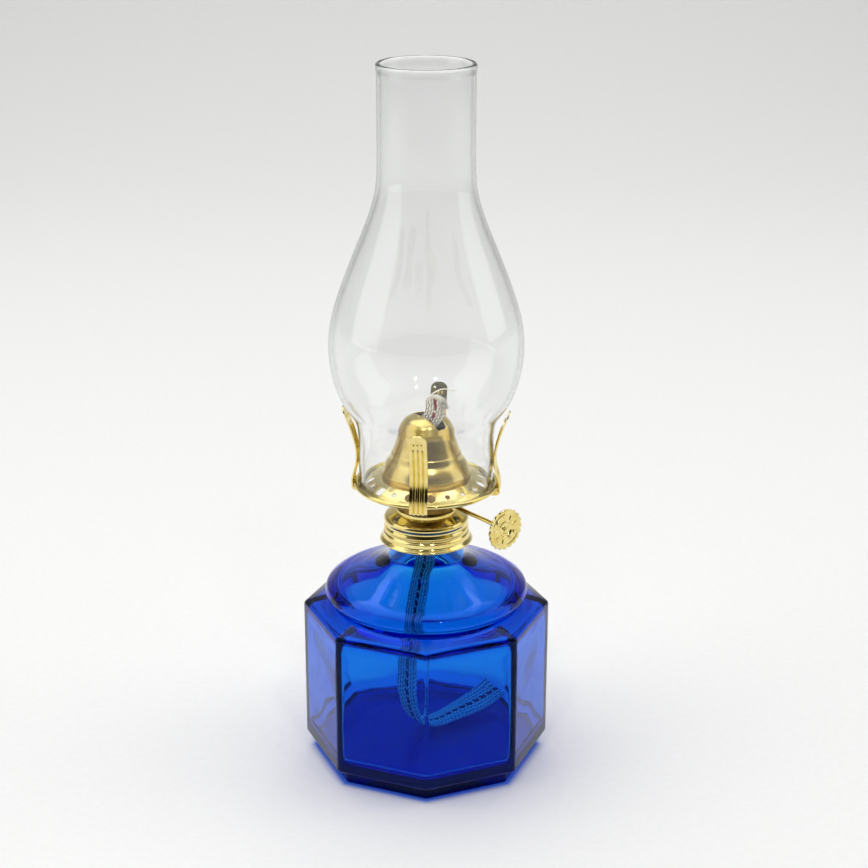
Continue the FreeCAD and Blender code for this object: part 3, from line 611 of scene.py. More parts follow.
# ---- the burner ---------------------------------------------------------------------------------
@dataclass
class Burner:
    """Screw cap, step ring, throat, perforated gallery and slotted bell."""

    brass: bpy.types.Material
    sheet: float = 0.6
    flat_z: float = 140.8               # top of the dish
    channel_z: float = 136.5
    rim_r: float = 32.4
    rim_z: float = 137.0
    bead: float = 1.1
    hole_ring: float = 26.0
    big_hole: float = 2.1
    small_hole: float = 1.15
    window: float = 4.0
    bell_r: float = 20.7
    back_off: float = -3.7              # back prong off the opposite of the front one, degrees
    slot_half: tuple[float, float] = (9.4, 2.9)
    slot_off: float = 2.2               # the slot's middle sits off the axis, towards the knob

    def cap(self) -> bpy.types.Object:
        """Pressed cap: flared skirt, plain band, two rolled beads, sloping shoulder."""
        line = np.array([(21.65, 109.45), (20.9, 110.3), (20.05, 111.1), (20.0, 113.2), (19.45, 113.8),
                         (19.3, 114.5), (19.92, 115.6), (19.3, 116.9), (19.15, 117.55), (19.3, 118.2),
                         (19.92, 119.5), (19.5, 120.7), (18.9, 121.35), (13.9, 123.1), (12.7, 123.1)])
        cuts = np.array([0, .5, .5, .35, .3, .5, .9, .5, .3, .5, .9, .6, .5, .5, 0])
        outline = sheet_section(eased(line, cuts, 7), self.sheet)
        made = new_piece("cap_brass", Skin.of_grid(turned(outline), rows_close=True), self.brass)
        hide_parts("screw_cap")
        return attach(made, "burner")

    def step_ring(self) -> bpy.types.Object:
        """Step ring on the cap and the tube that hangs from it."""
        line = np.array([(11.5, 113.1), (12.55, 113.1), (12.6, 122.0), (12.65, 123.12), (14.15, 123.12),
                         (14.15, 124.9), (12.0, 124.9), (12.0, 113.7), (11.5, 113.7)])
        cuts = np.array([0, .1, .1, .1, .25, .45, .2, .1, 0])
        made = new_piece("step_ring_brass", Skin.of_grid(turned(eased(line, cuts, 6)), rows_close=True),
                         self.brass)
        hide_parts("burner_base")
        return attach(made, "burner")

    def punched(self, x: np.ndarray, y: np.ndarray) -> tuple[np.ndarray, np.ndarray, np.ndarray]:
        """Distance to the nearest punched hole's edge, negative inside, and the way out of it.

        A round hole's distance is |p - c| - r. A window's is that of a square with sides of the window,
        rounded by half a millimetre.

        Args:
            x: places across.
            y: places away.

        Returns:
            Distance, and the x and y of the way out.
        """
        best = np.full(x.shape, 1e3)
        out_x, out_y = np.zeros(x.shape), np.zeros(x.shape)
        for azimuth, radius in self.holes():
            cx, cy = self.hole_ring * math.cos(azimuth), self.hole_ring * math.sin(azimuth)
            dx, dy = x - cx, y - cy
            if radius > 0:
                length = np.hypot(dx, dy)
                far, nx, ny = length - radius, dx / np.maximum(length, 1e-9), dy / np.maximum(length, 1e-9)
            else:
                c, s = math.cos(azimuth), math.sin(azimuth)
                u, v = dx * c + dy * s, -dx * s + dy * c
                half = self.window / 2 - 0.5
                qu, qv = np.maximum(np.abs(u) - half, 0.0), np.maximum(np.abs(v) - half, 0.0)
                length = np.hypot(qu, qv)
                inner = np.maximum(np.abs(u), np.abs(v)) - half
                far = np.where(length > 0, length, inner) - 0.5
                flat_u = np.where(np.abs(u) > np.abs(v), np.sign(u), 0.0)
                flat_v = np.where(np.abs(u) > np.abs(v), 0.0, np.sign(v))
                gu = np.where(length > 0, np.sign(u) * qu / np.maximum(length, 1e-9), flat_u)
                gv = np.where(length > 0, np.sign(v) * qv / np.maximum(length, 1e-9), flat_v)
                nx, ny = gu * c - gv * s, gu * s + gv * c
            near = far < best
            best = np.where(near, far, best)
            out_x, out_y = np.where(near, nx, out_x), np.where(near, ny, out_y)
        return best, out_x, out_y

    def holes(self) -> list[tuple[float, float]]:
        """Azimuth and radius of each hole; a radius of nought is a square window."""
        found = []
        for k in range(4):
            prong = FRONT_PRONG + 90.0 * k
            found += [(prong + side * 10.7, self.big_hole) for side in (-1, 1)]
            found += [(prong + side * 27.4, self.small_hole) for side in (-1, 1)]
            found.append((prong + 45.0, self.small_hole if k % 2 == 0 else 0.0))
        return [(math.radians(a), r) for a, r in found]

    def gallery(self) -> bpy.types.Object:
        """Perforated dish with a channel and a rolled rim.

        The dish is a grid of rings; points near a punched edge are moved on to it, and the faces inside
        are left out. The rim's bead is a circle swept round.
        """
        line = np.array([(10.7, self.flat_z), (21.7, self.flat_z), (26.0, 139.3), (28.2, 137.7),
                         (29.0, self.channel_z), (31.2, self.channel_z)])
        fine = eased(line, np.array([0, 1.2, 1.6, .8, .6, 0]), 7)
        radii = np.concatenate([np.linspace(10.7, 21.4, 9), np.linspace(21.6, 30.0, 46), [30.6, 31.2, 31.7]])
        height = np.interp(radii, fine[:, 0], fine[:, 1])
        grid = turned(np.column_stack([radii, height]), 840)
        far, nx, ny = self.punched(grid[..., 0], grid[..., 1])
        cell = 0.2
        near = np.abs(far) < 0.55 * cell
        grid[..., 0] -= np.where(near, far * nx, 0.0)
        grid[..., 1] -= np.where(near, far * ny, 0.0)
        grid[..., 2] = np.interp(np.hypot(grid[..., 0], grid[..., 1]), fine[:, 0], fine[:, 1])
        skin = Skin.of_grid(grid)
        moved = self.punched(grid[..., 0], grid[..., 1])[0].ravel()
        skin.quads = skin.quads[moved[skin.quads].max(axis=1) > 1e-4]
        made = new_piece("gallery_brass", skin, self.brass, 50.0)
        mesh = made.data
        if mesh.polygons[0].normal.z < 0:
            mesh.flip_normals()
        solidify(made, self.sheet)
        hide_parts("gallery")
        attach(made, "burner")
        around = np.linspace(0, 2 * math.pi, 24, endpoint=False)
        bead = np.column_stack([self.rim_r + self.bead * np.cos(around),
                                self.rim_z + self.bead * np.sin(around)])
        rim = new_piece("gallery_rim_brass", Skin.of_grid(turned(bead, 240), rows_close=True), self.brass)
        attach(rim, "burner")
        return made

    def throat(self) -> bpy.types.Object:
        """Short tube from the step ring up to the dish."""
        line = np.array([(13.25, 124.92), (13.0, 125.6), (13.0, 139.2), (13.35, 140.15)])
        outline = sheet_section(eased(line, np.array([0, .3, .4, 0]), 5), self.sheet)
        # painted shade: the throat's darker brass stands for the shade under the dish
        made = new_piece("throat_brass", Skin.of_grid(turned(outline), rows_close=True), SHADE_DARKENED_BRASS.make(),
                         40.0)
        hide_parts("burner_throat")
        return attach(made, "burner")

    def bell(self) -> bpy.types.Object:
        """Bell with a serrated skirt, a crease above it, and a slot through its crown.

        The slot is a rounded rectangle cut straight down; points near its edge are moved on to it.
        """
        b, z0 = self.bell_r, self.flat_z
        low = np.array([(b, z0 + 0.05), (b, z0 + 2.5), (b - 0.35, z0 + 3.1), (19.3, 146.3), (18.2, 148.2),
                        (16.7, 150.0), (16.05, 152.5), (15.6, 153.1)])
        wall = through([(15.6, 153.1), (14.3, 157.2), (13.0, 162.0), (11.3, 165.9),
                        (9.2, 168.1), (5.0, 169.55), (0.9, 170.0)], 60)
        line = np.concatenate([eased(low, np.array([0, .4, .5, 1.0, 1.1, .9, .25, 0]), 6)[:-1], wall])
        grid = turned(line, 420)
        angle = np.linspace(0, 2 * math.pi, 420, endpoint=False)
        teeth = 0.22 * (0.5 + 0.5 * np.cos(84 * angle)) ** 2
        skirt = step(grid[..., 2], z0 + 0.2, z0 + 0.7) * (1 - step(grid[..., 2], z0 + 1.9, z0 + 2.4))
        shrink = 1 - teeth[None, :] * skirt / b
        grid[..., 0] *= shrink
        grid[..., 1] *= shrink
        u, v = grid @ ALONG - self.slot_off, grid @ ACROSS
        hu, hv = self.slot_half
        soft = 1.6
        qu, qv = np.abs(u) - (hu - soft), np.abs(v) - (hv - soft)
        outer = np.hypot(np.maximum(qu, 0), np.maximum(qv, 0))
        far = np.where((qu > 0) | (qv > 0), outer, np.maximum(qu, qv)) - soft
        divide = np.maximum(outer, 1e-9)
        gu = np.sign(u) * np.where(outer > 0, np.maximum(qu, 0) / divide, qu > qv)
        gv = np.sign(v) * np.where(outer > 0, np.maximum(qv, 0) / divide, qu <= qv)
        crown_z = 160.0
        top = grid[..., 2] > crown_z
        near = (np.abs(far) < 0.14) & top
        push = np.where(near, far, 0.0)[..., None]
        grid -= push * (gu[..., None] * ALONG + gv[..., None] * ACROSS)
        on_wall = np.interp(-np.hypot(grid[..., 0], grid[..., 1]), -line[:, 0], line[:, 1])
        grid[..., 2] = np.where(near, on_wall, grid[..., 2])
        far = np.where(near, 0.0, far)
        skin = Skin.of_grid(grid)
        in_slot = far.ravel()[skin.quads].max(axis=1) <= 1e-6
        drop = in_slot & (skin.points[skin.quads][..., 2].min(axis=1) > crown_z)
        skin.quads = skin.quads[~drop]
        made = new_piece("bell_brass", skin, SATIN.make(), 60.0)
        solidify(made, 0.5)
        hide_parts("deflector")
        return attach(made, "burner")

    def prong(self, name: str, azimuth: float) -> bpy.types.Object:
        """Fluted spring strip curled round the rim.

        The middle line runs in the upright plane at its azimuth; the strip's section is a flat loop whose
        faces carry three rounded flutes, cos^2 across, faded in and out along the strip.

        Args:
            name: front, right, back or left.
            azimuth: its direction from the axis, degrees.

        Returns:
            The prong.
        """
        curl = np.radians(np.linspace(-90, 0, 18))
        ring = np.column_stack([self.rim_r + 1.75 * np.cos(curl), self.rim_z - 1.9 + 1.75 * np.sin(curl)])
        tab = np.array([(29.6, self.rim_z - 3.5), (31.0, self.rim_z - 3.62)])
        rise = through([(34.15, 137.7), (33.6, 141.0), (32.6, 144.6), (31.95, 148.8), (32.5, 155.0),
                        (34.6, 162.9), (38.4, 172.9)], 150)
        path = np.concatenate([tab, ring[:-1], rise])
        run = np.gradient(path, axis=0)
        run /= np.linalg.norm(run, axis=1, keepdims=True)
        out = np.column_stack([run[:, 1], -run[:, 0]])
        gone = np.concatenate([[0], np.cumsum(np.linalg.norm(np.diff(path, axis=0), axis=1))])
        left = gone[-1] - gone
        half = 4.1 * np.sqrt(1 - 0.9 * (np.clip(3.0 - left, 0, 3.0) / 3.0) ** 2)
        flutes = step(gone, 3.6, 5.0) * (1 - step(gone, gone[-1] * 0.78, gone[-1] * 0.78 + 2.5))
        share = np.linspace(-1, 1, 61)
        groove = 0.7 * np.exp(-((np.mod(share / 0.5 + 0.5, 1.0) - 0.5) / 0.2) ** 2) * (np.abs(share) < 0.75)
        dimple_s = 1 - np.clip(np.abs(gone[:, None] - gone[-1] * 0.89) / 0.5, 0, 1) ** 2
        dots = np.exp(-((np.mod(share * 4.8 + 1.0, 2.0) - 1.0) / 0.5) ** 2) * (np.abs(share) < 0.62)
        dent = flutes[:, None] * groove[None, :] + 0.6 * np.clip(dimple_s, 0, 1) * dots[None, :]
        face_out = 0.3 - dent
        face_in = -0.3 - dent * 0.85
        across = np.concatenate([share, share[::-1]])
        lift = np.concatenate([face_out, face_in[:, ::-1]], axis=1)
        radial = np.array([math.cos(math.radians(azimuth)), math.sin(math.radians(azimuth)), 0.0])
        side = np.cross(UP, radial)
        grid = ((path[:, :1, None] * radial + path[:, 1:2, None] * UP)
                + half[:, None, None] * across[None, :, None] * side
                + lift[..., None] * (out[:, :1, None] * radial + out[:, 1:2, None] * UP))
        made = new_piece(f"prong_{name}_brass", Skin.of_grid(grid, poles=True), self.brass, 45.0)
        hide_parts(f"prong_{name}")
        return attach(made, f"prong_{name}")

    def build(self) -> None:
        """Makes every visible burner piece and dresses the inner ones."""
        self.cap()
        self.step_ring()
        self.throat()
        self.gallery()
        self.bell()
        for k, name in enumerate(("front", "right", "back", "left")):
            off = self.back_off if name == "back" else 0.0
            self.prong(name, FRONT_PRONG + 90.0 * k + off)
        dress(["base_plate", "wick_tube", "shaft_bush_near", "shaft_bush_far"], self.brass)
        dress(["cap_gasket"], RUBBER.make())


# ---- the winder ---------------------------------------------------------------------------------
@dataclass
class Winder:
    """Winding shaft with its knob and two feed wheels."""

    brass: bpy.types.Material
    offset: float = 6.3
    height: float = 127.2
    face: float = 49.0
    radius: float = 9.7
    lobes: int = 20
    bars: int = 9

    def knob(self) -> bpy.types.Object:
        """Pressed knob: scalloped, corrugated edge, a ring of raised bars and a sunk middle.

        Its face is a height over polar coordinates: ring beads are bumps of the radius, the edge is
        ribbed by cos(lobes x angle), and each bar is a smooth plateau in angle and radius.
        """
        columns = 480
        angle = np.linspace(0, 2 * math.pi, columns, endpoint=False)
        front = np.concatenate([np.linspace(1.06, 4.2, 22), np.linspace(4.3, 7.2, 22),
                                np.linspace(7.3, 9.62, 20)])
        back = np.array([self.radius, 9.62, 9.3, 7.0, 2.9, 2.6, 2.55, 1.06])
        back_h = np.array([-0.45, -0.85, -1.0, -1.0, -1.05, -1.4, -2.4, -2.4])
        sunk = -0.5 * (1 - step(front, 3.0, 3.5)) + 0.45 * (1 - step(front, 1.7, 2.1))
        beads = 0.22 * np.exp(-((front - 3.8) / 0.28) ** 2) + 0.22 * np.exp(-((front - 7.55) / 0.25) ** 2)
        h = (sunk + beads)[:, None] + np.zeros(columns)
        turn = np.mod(angle * self.bars / (2 * math.pi), 1.0)
        bar = step(turn, 0.2, 0.3) * (1 - step(turn, 0.62, 0.72))
        tall = (step(front, 4.6, 4.8) * (1 - step(front, 6.7, 6.9)))[:, None]
        h += 0.42 * bar[None, :] * tall
        ribs = 0.5 + 0.5 * np.cos(self.lobes * angle)
        h += (0.14 * ribs[None, :] - 0.05) * step(front, 7.8, 8.3)[:, None]
        h -= 0.45 * step(front, 9.35, 9.62)[:, None]
        r = np.concatenate([front, back])[:, None] + np.zeros(columns)
        h = np.concatenate([h, back_h[:, None] + np.zeros(columns)])
        r = r - 0.55 * (1 - ribs[None, :]) * step(r, 8.4, 9.4)
        middle = ALONG * self.face + ACROSS * self.offset + UP * self.height
        grid = (middle + h[..., None] * ALONG + (r * np.cos(angle))[..., None] * ACROSS
                + (r * np.sin(angle))[..., None] * UP)
        made = new_piece("knob_brass", Skin.of_grid(grid[::-1], rows_close=True), self.brass,
                         60.0)
        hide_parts("winder_knob")
        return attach(made, "winder")

    def shaft(self) -> bpy.types.Object:
        """Round shaft with a flattened, staked end."""
        start = -13.5
        line = np.array([(0.05, start), (0.8, start), (1.0, start + 0.2), (1.0, 46.5), (1.0, 49.05),
                         (1.18, 49.3), (1.1, 49.65), (0.6, 49.8), (0.05, 49.72)])
        fine = eased(line, np.array([0, .1, .1, .1, .1, .1, .15, .2, 0]), 4)
        angle = np.linspace(0, 2 * math.pi, 40, endpoint=False)
        r, a = fine[:, :1], fine[:, 1:2]
        middle = ACROSS * self.offset + UP * self.height
        grid = (middle + (a + 0 * angle)[..., None] * ALONG + (r * np.cos(angle))[..., None] * ACROSS
                + (r * np.sin(angle))[..., None] * UP)
        made = new_piece("shaft_brass", Skin.of_grid(grid, poles=True), self.brass)
        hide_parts("winder_shaft")
        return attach(made, "winder")

    def build(self) -> None:
        """Makes the knob and shaft, and dresses the wheels."""
        self.knob()
        self.shaft()
        dress(["feed_wheel_near", "feed_wheel_far"], ZINC.make())


# ---- the wick -----------------------------------------------------------------------------------
@dataclass
class Wick:
    """Braided cotton tape from its frayed top down through the tube to its curled end in the font."""

    width: float = 12.7
    thick: float = 2.2
    top: float = 177.4
    column: float = 1.75                # one stitch across
    row: float = 2.1                    # one stitch along
    lean: float = 5.2                   # how far the top leans along its own plane

    def path(self) -> np.ndarray:
        """Middle line as (across, height) rows: a spline through the hanging curl, then straight up."""
        tail = through([(43.2, 16.7), (30, 13.6), (16, 12.2), (3.5, 12), (-5.5, 16.5), (-9.8, 27),
                        (-10.6, 40), (-8.8, 58), (-5, 80), (-0.9, 98), (-0.1, 104), (0, 110)], 460)
        rise = np.column_stack([np.zeros(330), np.linspace(110.2, self.top, 330)])
        return np.concatenate([tail, rise])

    def build(self) -> bpy.types.Object:
        """Makes the tape as a loop section carried along its path.

        The section is a flat loop with round edges. Each stitch is a slanted oval bulge in its own cell of
        column by row, sqrt(1 - a du^2 - b dv^2), and next columns are set half a row apart.
        """
        path = self.path()
        run = np.gradient(path, axis=0)
        run /= np.linalg.norm(run, axis=1, keepdims=True)
        out = np.column_stack([run[:, 1], -run[:, 0]])
        gone = np.concatenate([[0], np.cumsum(np.linalg.norm(np.diff(path, axis=0), axis=1))])
        flat_half, end_r = self.width / 2 - 1.0, self.thick / 2 - 0.2
        across_flat = np.linspace(-flat_half, flat_half, 36)
        arc = np.linspace(0, math.pi, 11)[1:-1]
        across = np.concatenate([across_flat, flat_half + np.sin(arc) * 0.85, across_flat[::-1],
                                 -flat_half - np.sin(arc) * 0.85])
        flat = np.concatenate([np.full(36, -end_r), -np.cos(arc) * end_r, np.full(36, end_r),
                               np.cos(arc) * end_r])
        left = gone[-1] - gone
        cell = np.floor(across / self.column)
        du = across / self.column - cell - 0.5
        zig = np.where(np.mod(cell, 2.0) < 0.5, 0.55, -0.55) * du
        dv = np.mod(gone[:, None] / self.row + 0.5 * cell[None, :] + zig[None, :], 1.0) - 0.5
        stitch = np.sqrt(np.clip(1 - 4.2 * du[None, :] ** 2 - 3.7 * dv ** 2, 0.0, 1.0))
        relief = 0.6 * (stitch - 0.6)
        narrow = 1 + 0.02 * step(-left, -7.5, -2.0) + 0.02 * np.sin(gone * 0.9)
        width_now = across[None, :] * narrow[:, None]
        side = np.sign(flat)[None, :] * relief * (np.abs(flat) > 0.3)[None, :]
        lean = self.lean * step(-left, -15.5, -3.5)
        crown = 2.6 * (1 - (across[None, :] / 6.4) ** 2) + 0.16 * across[None, :]
        ragged = (crown + 0.6 * np.sin(across[None, :] * 1.7 + 0.6)) * step(-left, -5.0, 0.0)[:, None]
        lift = flat[None, :] + side
        grid = (path[:, :1, None] * ACROSS + path[:, 1:2, None] * UP + width_now[..., None] * ALONG
                + lift[..., None] * (out[:, :1, None] * ACROSS + out[:, 1:2, None] * UP)
                + lean[:, None, None] * (0.2 * ACROSS + ALONG) + ragged[..., None] * UP)
        off = across[None, :] - self.column / 2
        beat = gone[:, None] / self.row + 0.55 * off / self.column
        run_off = (np.mod(beat / 2 + 0.25, 1.0) - 0.5) * 2 * self.row
        mark = ((off / 1.2) ** 2 + (run_off / 1.7) ** 2 < 1.0) * 1.0
        skin = Skin.of_grid(grid, poles=True)
        n_tape, n_grid = len(skin.points), mark.size
        whole = skin.plus(self.fringe(n_tape))
        made = new_piece("wick_braid", whole, COTTON.make())
        mesh = made.data
        total = len(mesh.vertices)
        values = np.full(total, 0.75)
        values[:n_grid] = stitch.ravel()
        self.attribute(mesh, "stitch", values)
        marks = np.zeros(total)
        marks[:n_grid] = mark.ravel()
        self.attribute(mesh, "tracer", marks)
        place = np.zeros((total, 2))
        place[:n_grid, 0] = np.broadcast_to(across, mark.shape).ravel()
        place[:n_grid, 1] = np.broadcast_to(gone[:, None], mark.shape).ravel()
        place[n_tape:] = mesh_points(mesh)[n_tape:, ::2] / MM
        corners = np.zeros(len(mesh.loops), int)
        mesh.loops.foreach_get("vertex_index", corners)
        mesh.uv_layers.new(name="tape").data.foreach_set("uv", place[corners].ravel())
        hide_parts("wick", "wick_tail")
        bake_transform(made)
        return made

    def attribute(self, mesh: bpy.types.Mesh, name: str, values: np.ndarray) -> None:
        """Stores one value for each point."""
        mesh.attributes.new(name, "FLOAT", "POINT").data.foreach_set("value", values.astype(np.float32))

    def fringe(self, seed: int) -> Skin:
        """Frayed ends at the top: thin bent threads, each a three-sided tube along a parabola.

        The first threads stand along the cut edge, and the rest make a tuft at its outer corner.

        Args:
            seed: start of the random draws.

        Returns:
            All threads as one skin.
        """
        draw = np.random.default_rng(seed)
        edge, loose, rings, sides = 440, 320, 6, 3      # threads on the cut edge, threads in the tuft
        count = edge + loose
        along = np.concatenate([draw.beta(2.0, 1.2, edge) * 12.4 - 6.2, draw.normal(5.6, 1.0, loose)])
        above = np.concatenate([2.6 * (1 - (along[:edge] / 6.4) ** 2) + 0.16 * along[:edge] - 0.9,
                                draw.normal(0.0, 1.0, loose)])
        tuft = (np.arange(count) >= edge) * 1.0
        root = (along[:, None] * ALONG + draw.uniform(-0.8, 0.8, count)[:, None] * ACROSS
                + UP * (self.top + above)[:, None] + self.lean * (0.2 * ACROSS + ALONG))
        way = (UP * (draw.uniform(0.6, 2.2, count) - 0.4 * tuft)[:, None]
               + ALONG * (draw.normal(0.2, 0.8, count) + 1.5 * tuft)[:, None]
               + ACROSS * (draw.normal(0.0, 0.8, count) - 0.7 * tuft)[:, None])
        droop = (ALONG * draw.normal(0, 0.8, count)[:, None] + ACROSS * draw.normal(0, 0.8, count)[:, None]
                 - UP * draw.uniform(0, 0.9, count)[:, None])
        t = np.linspace(0, 1, rings)[None, :, None]
        line = root[:, None] + way[:, None] * t + droop[:, None] * t ** 2
        turn = np.linspace(0, 2 * math.pi, sides, endpoint=False)
        thick = (0.2 * (1 - 0.75 * t ** 2))[..., None]
        round_it = np.cos(turn)[:, None] * ALONG + np.sin(turn)[:, None] * ACROSS
        tubes = line[:, :, None, :] + thick * round_it[None, None]
        index = np.arange(count * rings * sides).reshape(count, rings, sides)
        quads = np.stack([index[:, :-1], np.roll(index, -1, 2)[:, :-1], np.roll(index, -1, 2)[:, 1:],
                          index[:, 1:]], -1).reshape(-1, 4)
        tris = np.concatenate([index[:, -1], index[:, 0, ::-1]])
        return Skin(tubes.reshape(-1, 3), quads, tris).plus(self.loose_thread())

    def loose_thread(self) -> Skin:
        """One long thread that has come loose above the cut edge, with a forked end."""
        main = through([(1.4, -1.3, 177.8), (2.4, -1.4, 179.9), (4.4, -1.6, 181.6), (8.3, -1.2, 182.7),
                        (11.6, -0.6, 182.0), (12.6, -0.5, 182.0)], 28)
        upper = through([(11.6, -0.6, 182.0), (12.9, -0.5, 182.3), (14.1, -0.4, 182.6)], 8)
        lower = through([(11.6, -0.6, 181.95), (12.8, -0.5, 181.6), (13.7, -0.4, 181.2)], 8)
        skins = [self.strand(line, r) for line, r in ((main, 0.36), (upper, 0.2), (lower, 0.2))]
        return skins[0].plus(skins[1]).plus(skins[2])

    def strand(self, line: np.ndarray, radius: float) -> Skin:
        """Six-sided tube along a line, half as thick at its far end.

        Args:
            line: the thread's middle, in millimetres.
            radius: half its thickness where it starts.

        Returns:
            The tube.
        """
        turn = np.linspace(0, 2 * math.pi, 6, endpoint=False)
        run = np.gradient(line, axis=0)
        run /= np.linalg.norm(run, axis=1, keepdims=True)
        side = np.cross(run, np.array([0.0, 1.0, 0.0]))
        side /= np.linalg.norm(side, axis=1, keepdims=True)
        other = np.cross(run, side)
        size = radius * (1 - 0.5 * np.linspace(0, 1, len(line)) ** 3)[:, None, None]
        grid = line[:, None] + size * (np.cos(turn)[None, :, None] * side[:, None]
                                       + np.sin(turn)[None, :, None] * other[:, None])
        return Skin.of_grid(grid, poles=True)


def mesh_points(mesh: bpy.types.Mesh) -> np.ndarray:
    """The mesh's points, in metres."""
    out = np.zeros(len(mesh.vertices) * 3)
    mesh.vertices.foreach_get("co", out)
    return out.reshape(-1, 3)


# ---- the chimney --------------------------------------------------------------------------------
@dataclass
class Chimney:
    """Blown glass chimney: straight foot, full bulge, taper, top tube and fire-polished rim."""

    wall: float = 1.7
    foot_r: float = 31.0
    foot_z: float = 136.8
    bulge_r: float = 44.3
    bulge_z: float = 202.0
    top_r: float = 21.7
    top_z: float = 330.0

    def outline(self) -> np.ndarray:
        """Outer line from the foot to below the rim.

        A spline through places given as shares of the swell and the rise below the bulge, and of the taper
        and the climb above it.
        """
        swell, taper = self.bulge_r - self.foot_r, self.bulge_r - self.top_r
        rise, climb = self.bulge_z - self.foot_z, self.top_z - self.bulge_z
        below = [(0, 0.004), (0.0, 0.08), (0.008, 0.2), (0.022, 0.387), (0.15, 0.494), (0.444, 0.583),
                 (0.827, 0.761), (1, 1)]
        above = [(0.947, 0.1016), (0.7655, 0.211), (0.4115, 0.372), (0.177, 0.478), (0.031, 0.578),
                 (0.003, 0.656), (0, 0.74), (0, 0.85), (0, 0.965)]
        line = [(self.foot_r + swell * out, self.foot_z + rise * up) for out, up in below]
        line += [(self.top_r + taper * out, self.bulge_z + climb * up) for out, up in above]
        return through(line, 220)

    def build(self) -> bpy.types.Object:
        """Makes the wall as a closed outline turned round the axis, with a rounded foot and rim."""
        outer = self.outline()
        section = sheet_section(outer, self.wall)
        inner = section[len(outer):]
        rim = eased(np.array([tuple(outer[-1]), (22.05, 327.2), (22.1, 329.3), (21.2, 330.0), (20.3, 329.7),
                              (20.0, 328.6), tuple(inner[0])]), np.array([0, .7, .8, .8, .5, .5, 0]), 5)
        foot = np.array([(30.4, 136.82), (29.9, 136.82)])
        ring_line = np.concatenate([outer, rim[1:-1], inner, foot[::-1]])
        made = new_piece("chimney_glass", Skin.of_grid(turned(ring_line, 200), rows_close=True), BLOWN.make())
        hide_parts("chimney")
        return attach(made, "chimney")


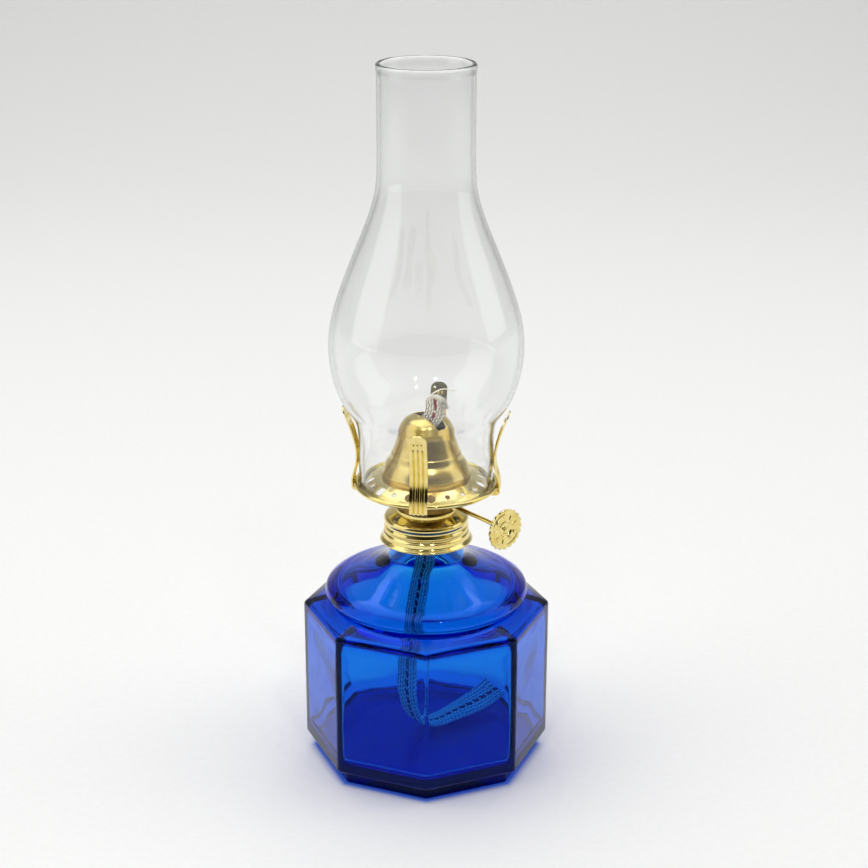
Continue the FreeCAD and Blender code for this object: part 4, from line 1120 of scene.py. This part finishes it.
# ---- the studio ---------------------------------------------------------------------------------
@dataclass
class Studio:
    """Pale paper sweep, soft boxes and the camera."""

    pale: str = "#F5F5F4"
    lens: float = 78.945
    stand: tuple[float, float, float] = (0.0, -0.82244, 0.45667)
    pitch: float = 19.806
    shift: float = 0.0089

    def paper(self) -> None:
        """Matt paper: floor, a wide bend, and a wall, as one profile carried sideways; its colour carries
        painted blue light round the font's foot.
        """
        made, tree, out = new_material("matt_white_paper")
        place = add_node(tree, "ShaderNodeTexCoord")
        grain = add_node(tree, "ShaderNodeTexNoise", {"Scale": 300.0, "Detail": 4.0},
                         {"Vector": (place, "Object")})
        tone = add_node(tree, "ShaderNodeValToRGB", {}, {"Fac": (grain, "Fac")})
        pale = linear(self.pale)
        set_ramp(tone, [(0.3, tuple(0.97 * v for v in pale[:3]) + (1.0,)), (0.7, pale)])
        skin = add_node(tree, "ShaderNodeBsdfPrincipled", {"Roughness": 0.85, "Specular IOR Level": 0.2},
                        {"Base Color": (tone, "Color")})
        tree.links.new(skin.outputs[0], out.inputs["Surface"])
        # painted light: a blue tint in the paper's colour round the font's foot
        self.painted_blue_caustic(tree, place, tone, skin)
        bend = np.linspace(0, math.pi / 2, 24)
        y = np.concatenate([[-6.0, 0.0, 1.0], 1.2 + 1.4 * np.sin(bend), [2.6]])
        z = np.concatenate([[0, 0, 0], 1.4 * (1 - np.cos(bend)), [3.4]])
        x = np.array([-6.0, 6.0])
        grid = np.stack([np.broadcast_to(x, (len(y), 2)), np.repeat(y[:, None], 2, 1),
                         np.repeat(z[:, None] - 0.0001, 2, 1)], -1)
        skin_mesh = Skin.of_grid(grid / MM, columns_close=False)
        mesh = bpy.data.meshes.new("paper")
        mesh.from_pydata((skin_mesh.points * MM).tolist(), [], skin_mesh.quads.tolist())
        mesh.shade_smooth()
        mesh.materials.append(made)
        sweep = bpy.data.objects.new("paper", mesh)
        bpy.context.scene.collection.objects.link(sweep)

    def painted_blue_caustic(self, tree: bpy.types.NodeTree, place: bpy.types.Node, tone: bpy.types.Node,
                  skin: bpy.types.Node) -> None:
        """Painted blue light: the paper's colour turns blue just round the font's foot, standing in for the
        blue light that its glass throws there.

        The distance from the axis, as an octagon measures it, is the largest |p . n| over its four pairs of
        sides. The tint fades from the foot's edge at 48.6 mm to nothing at 54 mm.

        Args:
            tree: the paper's tree.
            place: its texture coordinates.
            tone: its own colour.
            skin: its shader.
        """
        far = None
        for k in range(4):
            angle = math.radians(22.5 + 45 * k)
            dot = add_node(tree, "ShaderNodeVectorMath", {"operation": "DOT_PRODUCT"}, {0: (place, "Object")})
            dot.inputs[1].default_value = (math.cos(angle), math.sin(angle), 0.0)
            size = add_node(tree, "ShaderNodeMath", {"operation": "ABSOLUTE"}, {0: (dot, "Value")})
            far = size if far is None else add_node(tree, "ShaderNodeMath", {"operation": "MAXIMUM"},
                                                    {0: (far, 0), 1: (size, 0)})
        fade = add_node(tree, "ShaderNodeMapRange", {"interpolation_type": "SMOOTHERSTEP", "From Min": 0.0486,
                                                     "From Max": 0.0540, "To Min": 1.0, "To Max": 0.0},
                        {"Value": (far, 0)})
        sharp = add_node(tree, "ShaderNodeMath", {"operation": "POWER", 1: 2.0}, {0: (fade, 0)})
        painted_glow = add_node(tree, "ShaderNodeMix", {"data_type": "RGBA"}, {0: (sharp, 0), 6: (tone, "Color")})
        # colour of the painted blue light at the foot's edge
        painted_glow.inputs[7].default_value = linear("#5B93F2")
        tree.links.new(painted_glow.outputs[2], skin.inputs["Base Color"])

    def box(self, name: str, place: tuple[float, float, float], size: tuple[float, float], watts: float,
            aim: tuple[float, float, float] = (0.0, 0.0, 0.15)) -> None:
        """A soft box aimed at the middle of the lamp, or elsewhere."""
        light = bpy.data.lights.new(name, "AREA")
        light.shape = "RECTANGLE"
        light.size, light.size_y = size
        light.energy = watts
        made = bpy.data.objects.new(name, light)
        made.location = place
        made.rotation_euler = (Vector(aim) - Vector(place)).to_track_quat("-Z", "Y").to_euler()
        bpy.context.scene.collection.objects.link(made)

    def room(self) -> None:
        """Even pale room, darker low down towards the viewer."""
        world = bpy.data.worlds.new("room")
        bpy.context.scene.world = world
        world.use_nodes = True
        tree = world.node_tree
        tree.nodes.clear()
        out = add_node(tree, "ShaderNodeOutputWorld")
        place = add_node(tree, "ShaderNodeTexCoord")
        apart = add_node(tree, "ShaderNodeSeparateXYZ", {}, {0: (place, "Generated")})
        ramp = add_node(tree, "ShaderNodeValToRGB", {}, {"Fac": (apart, "Z")})
        set_ramp(ramp, [(0.0, linear("#6E6E6E")), (0.3, linear("#B4B4B4")), (0.8, linear("#FFFFFF"))])
        front = add_node(tree, "ShaderNodeMapRange", {"From Min": -0.9, "From Max": -0.35, "To Min": 1.0,
                                                      "To Max": 0.0}, {"Value": (apart, "Y")})
        dim = add_node(tree, "ShaderNodeMix", {"data_type": "RGBA"}, {0: (front, 0), 6: (ramp, "Color")})
        dim.inputs[7].default_value = linear("#2B2926")
        back = add_node(tree, "ShaderNodeBackground", {"Strength": 0.6}, {"Color": (dim, 2)})
        tree.links.new(back.outputs[0], out.inputs["Surface"])

    def build(self) -> None:
        """Camera first, then the paper and the light."""
        bpy.context.scene.view_settings.view_transform = "Standard"
        lens = bpy.data.cameras.new("view")
        lens.lens, lens.sensor_width = self.lens, 36.0
        lens.shift_x = self.shift
        lens.clip_start = 0.01
        camera = bpy.data.objects.new("view", lens)
        camera.location = self.stand
        camera.rotation_euler = (math.radians(90 - self.pitch), 0, 0)
        bpy.context.scene.collection.objects.link(camera)
        bpy.context.scene.camera = camera
        self.paper()
        self.box("top_box", (-0.2, 0.45, 1.9), (2.2, 2.0), 19.5)
        self.box("left_box", (-1.4, -0.3, 0.8), (1.2, 1.6), 5.4)
        self.box("right_box", (1.5, 0.1, 0.9), (1.1, 1.6), 5.0)
        self.box("wall_wash", (0.0, 1.7, 2.4), (2.6, 0.7), 3.6, (0.0, 2.5, 0.2))
        self.box("spark_left", (-0.31, -1.0, 1.45), (0.09, 0.14), 2.4)
        self.box("spark_right", (0.37, -1.0, 1.45), (0.09, 0.14), 2.4)
        self.room()


def main() -> None:
    """Builds the studio and the lamp, from the font up."""
    logging.basicConfig(level=logging.INFO, format="%(message)s")
    Studio().build()
    brass = BRASS.make()
    Font().build()
    Burner(brass).build()
    Winder(brass).build()
    Wick().build()
    Chimney().build()


if __name__ == "__main__":
    main()
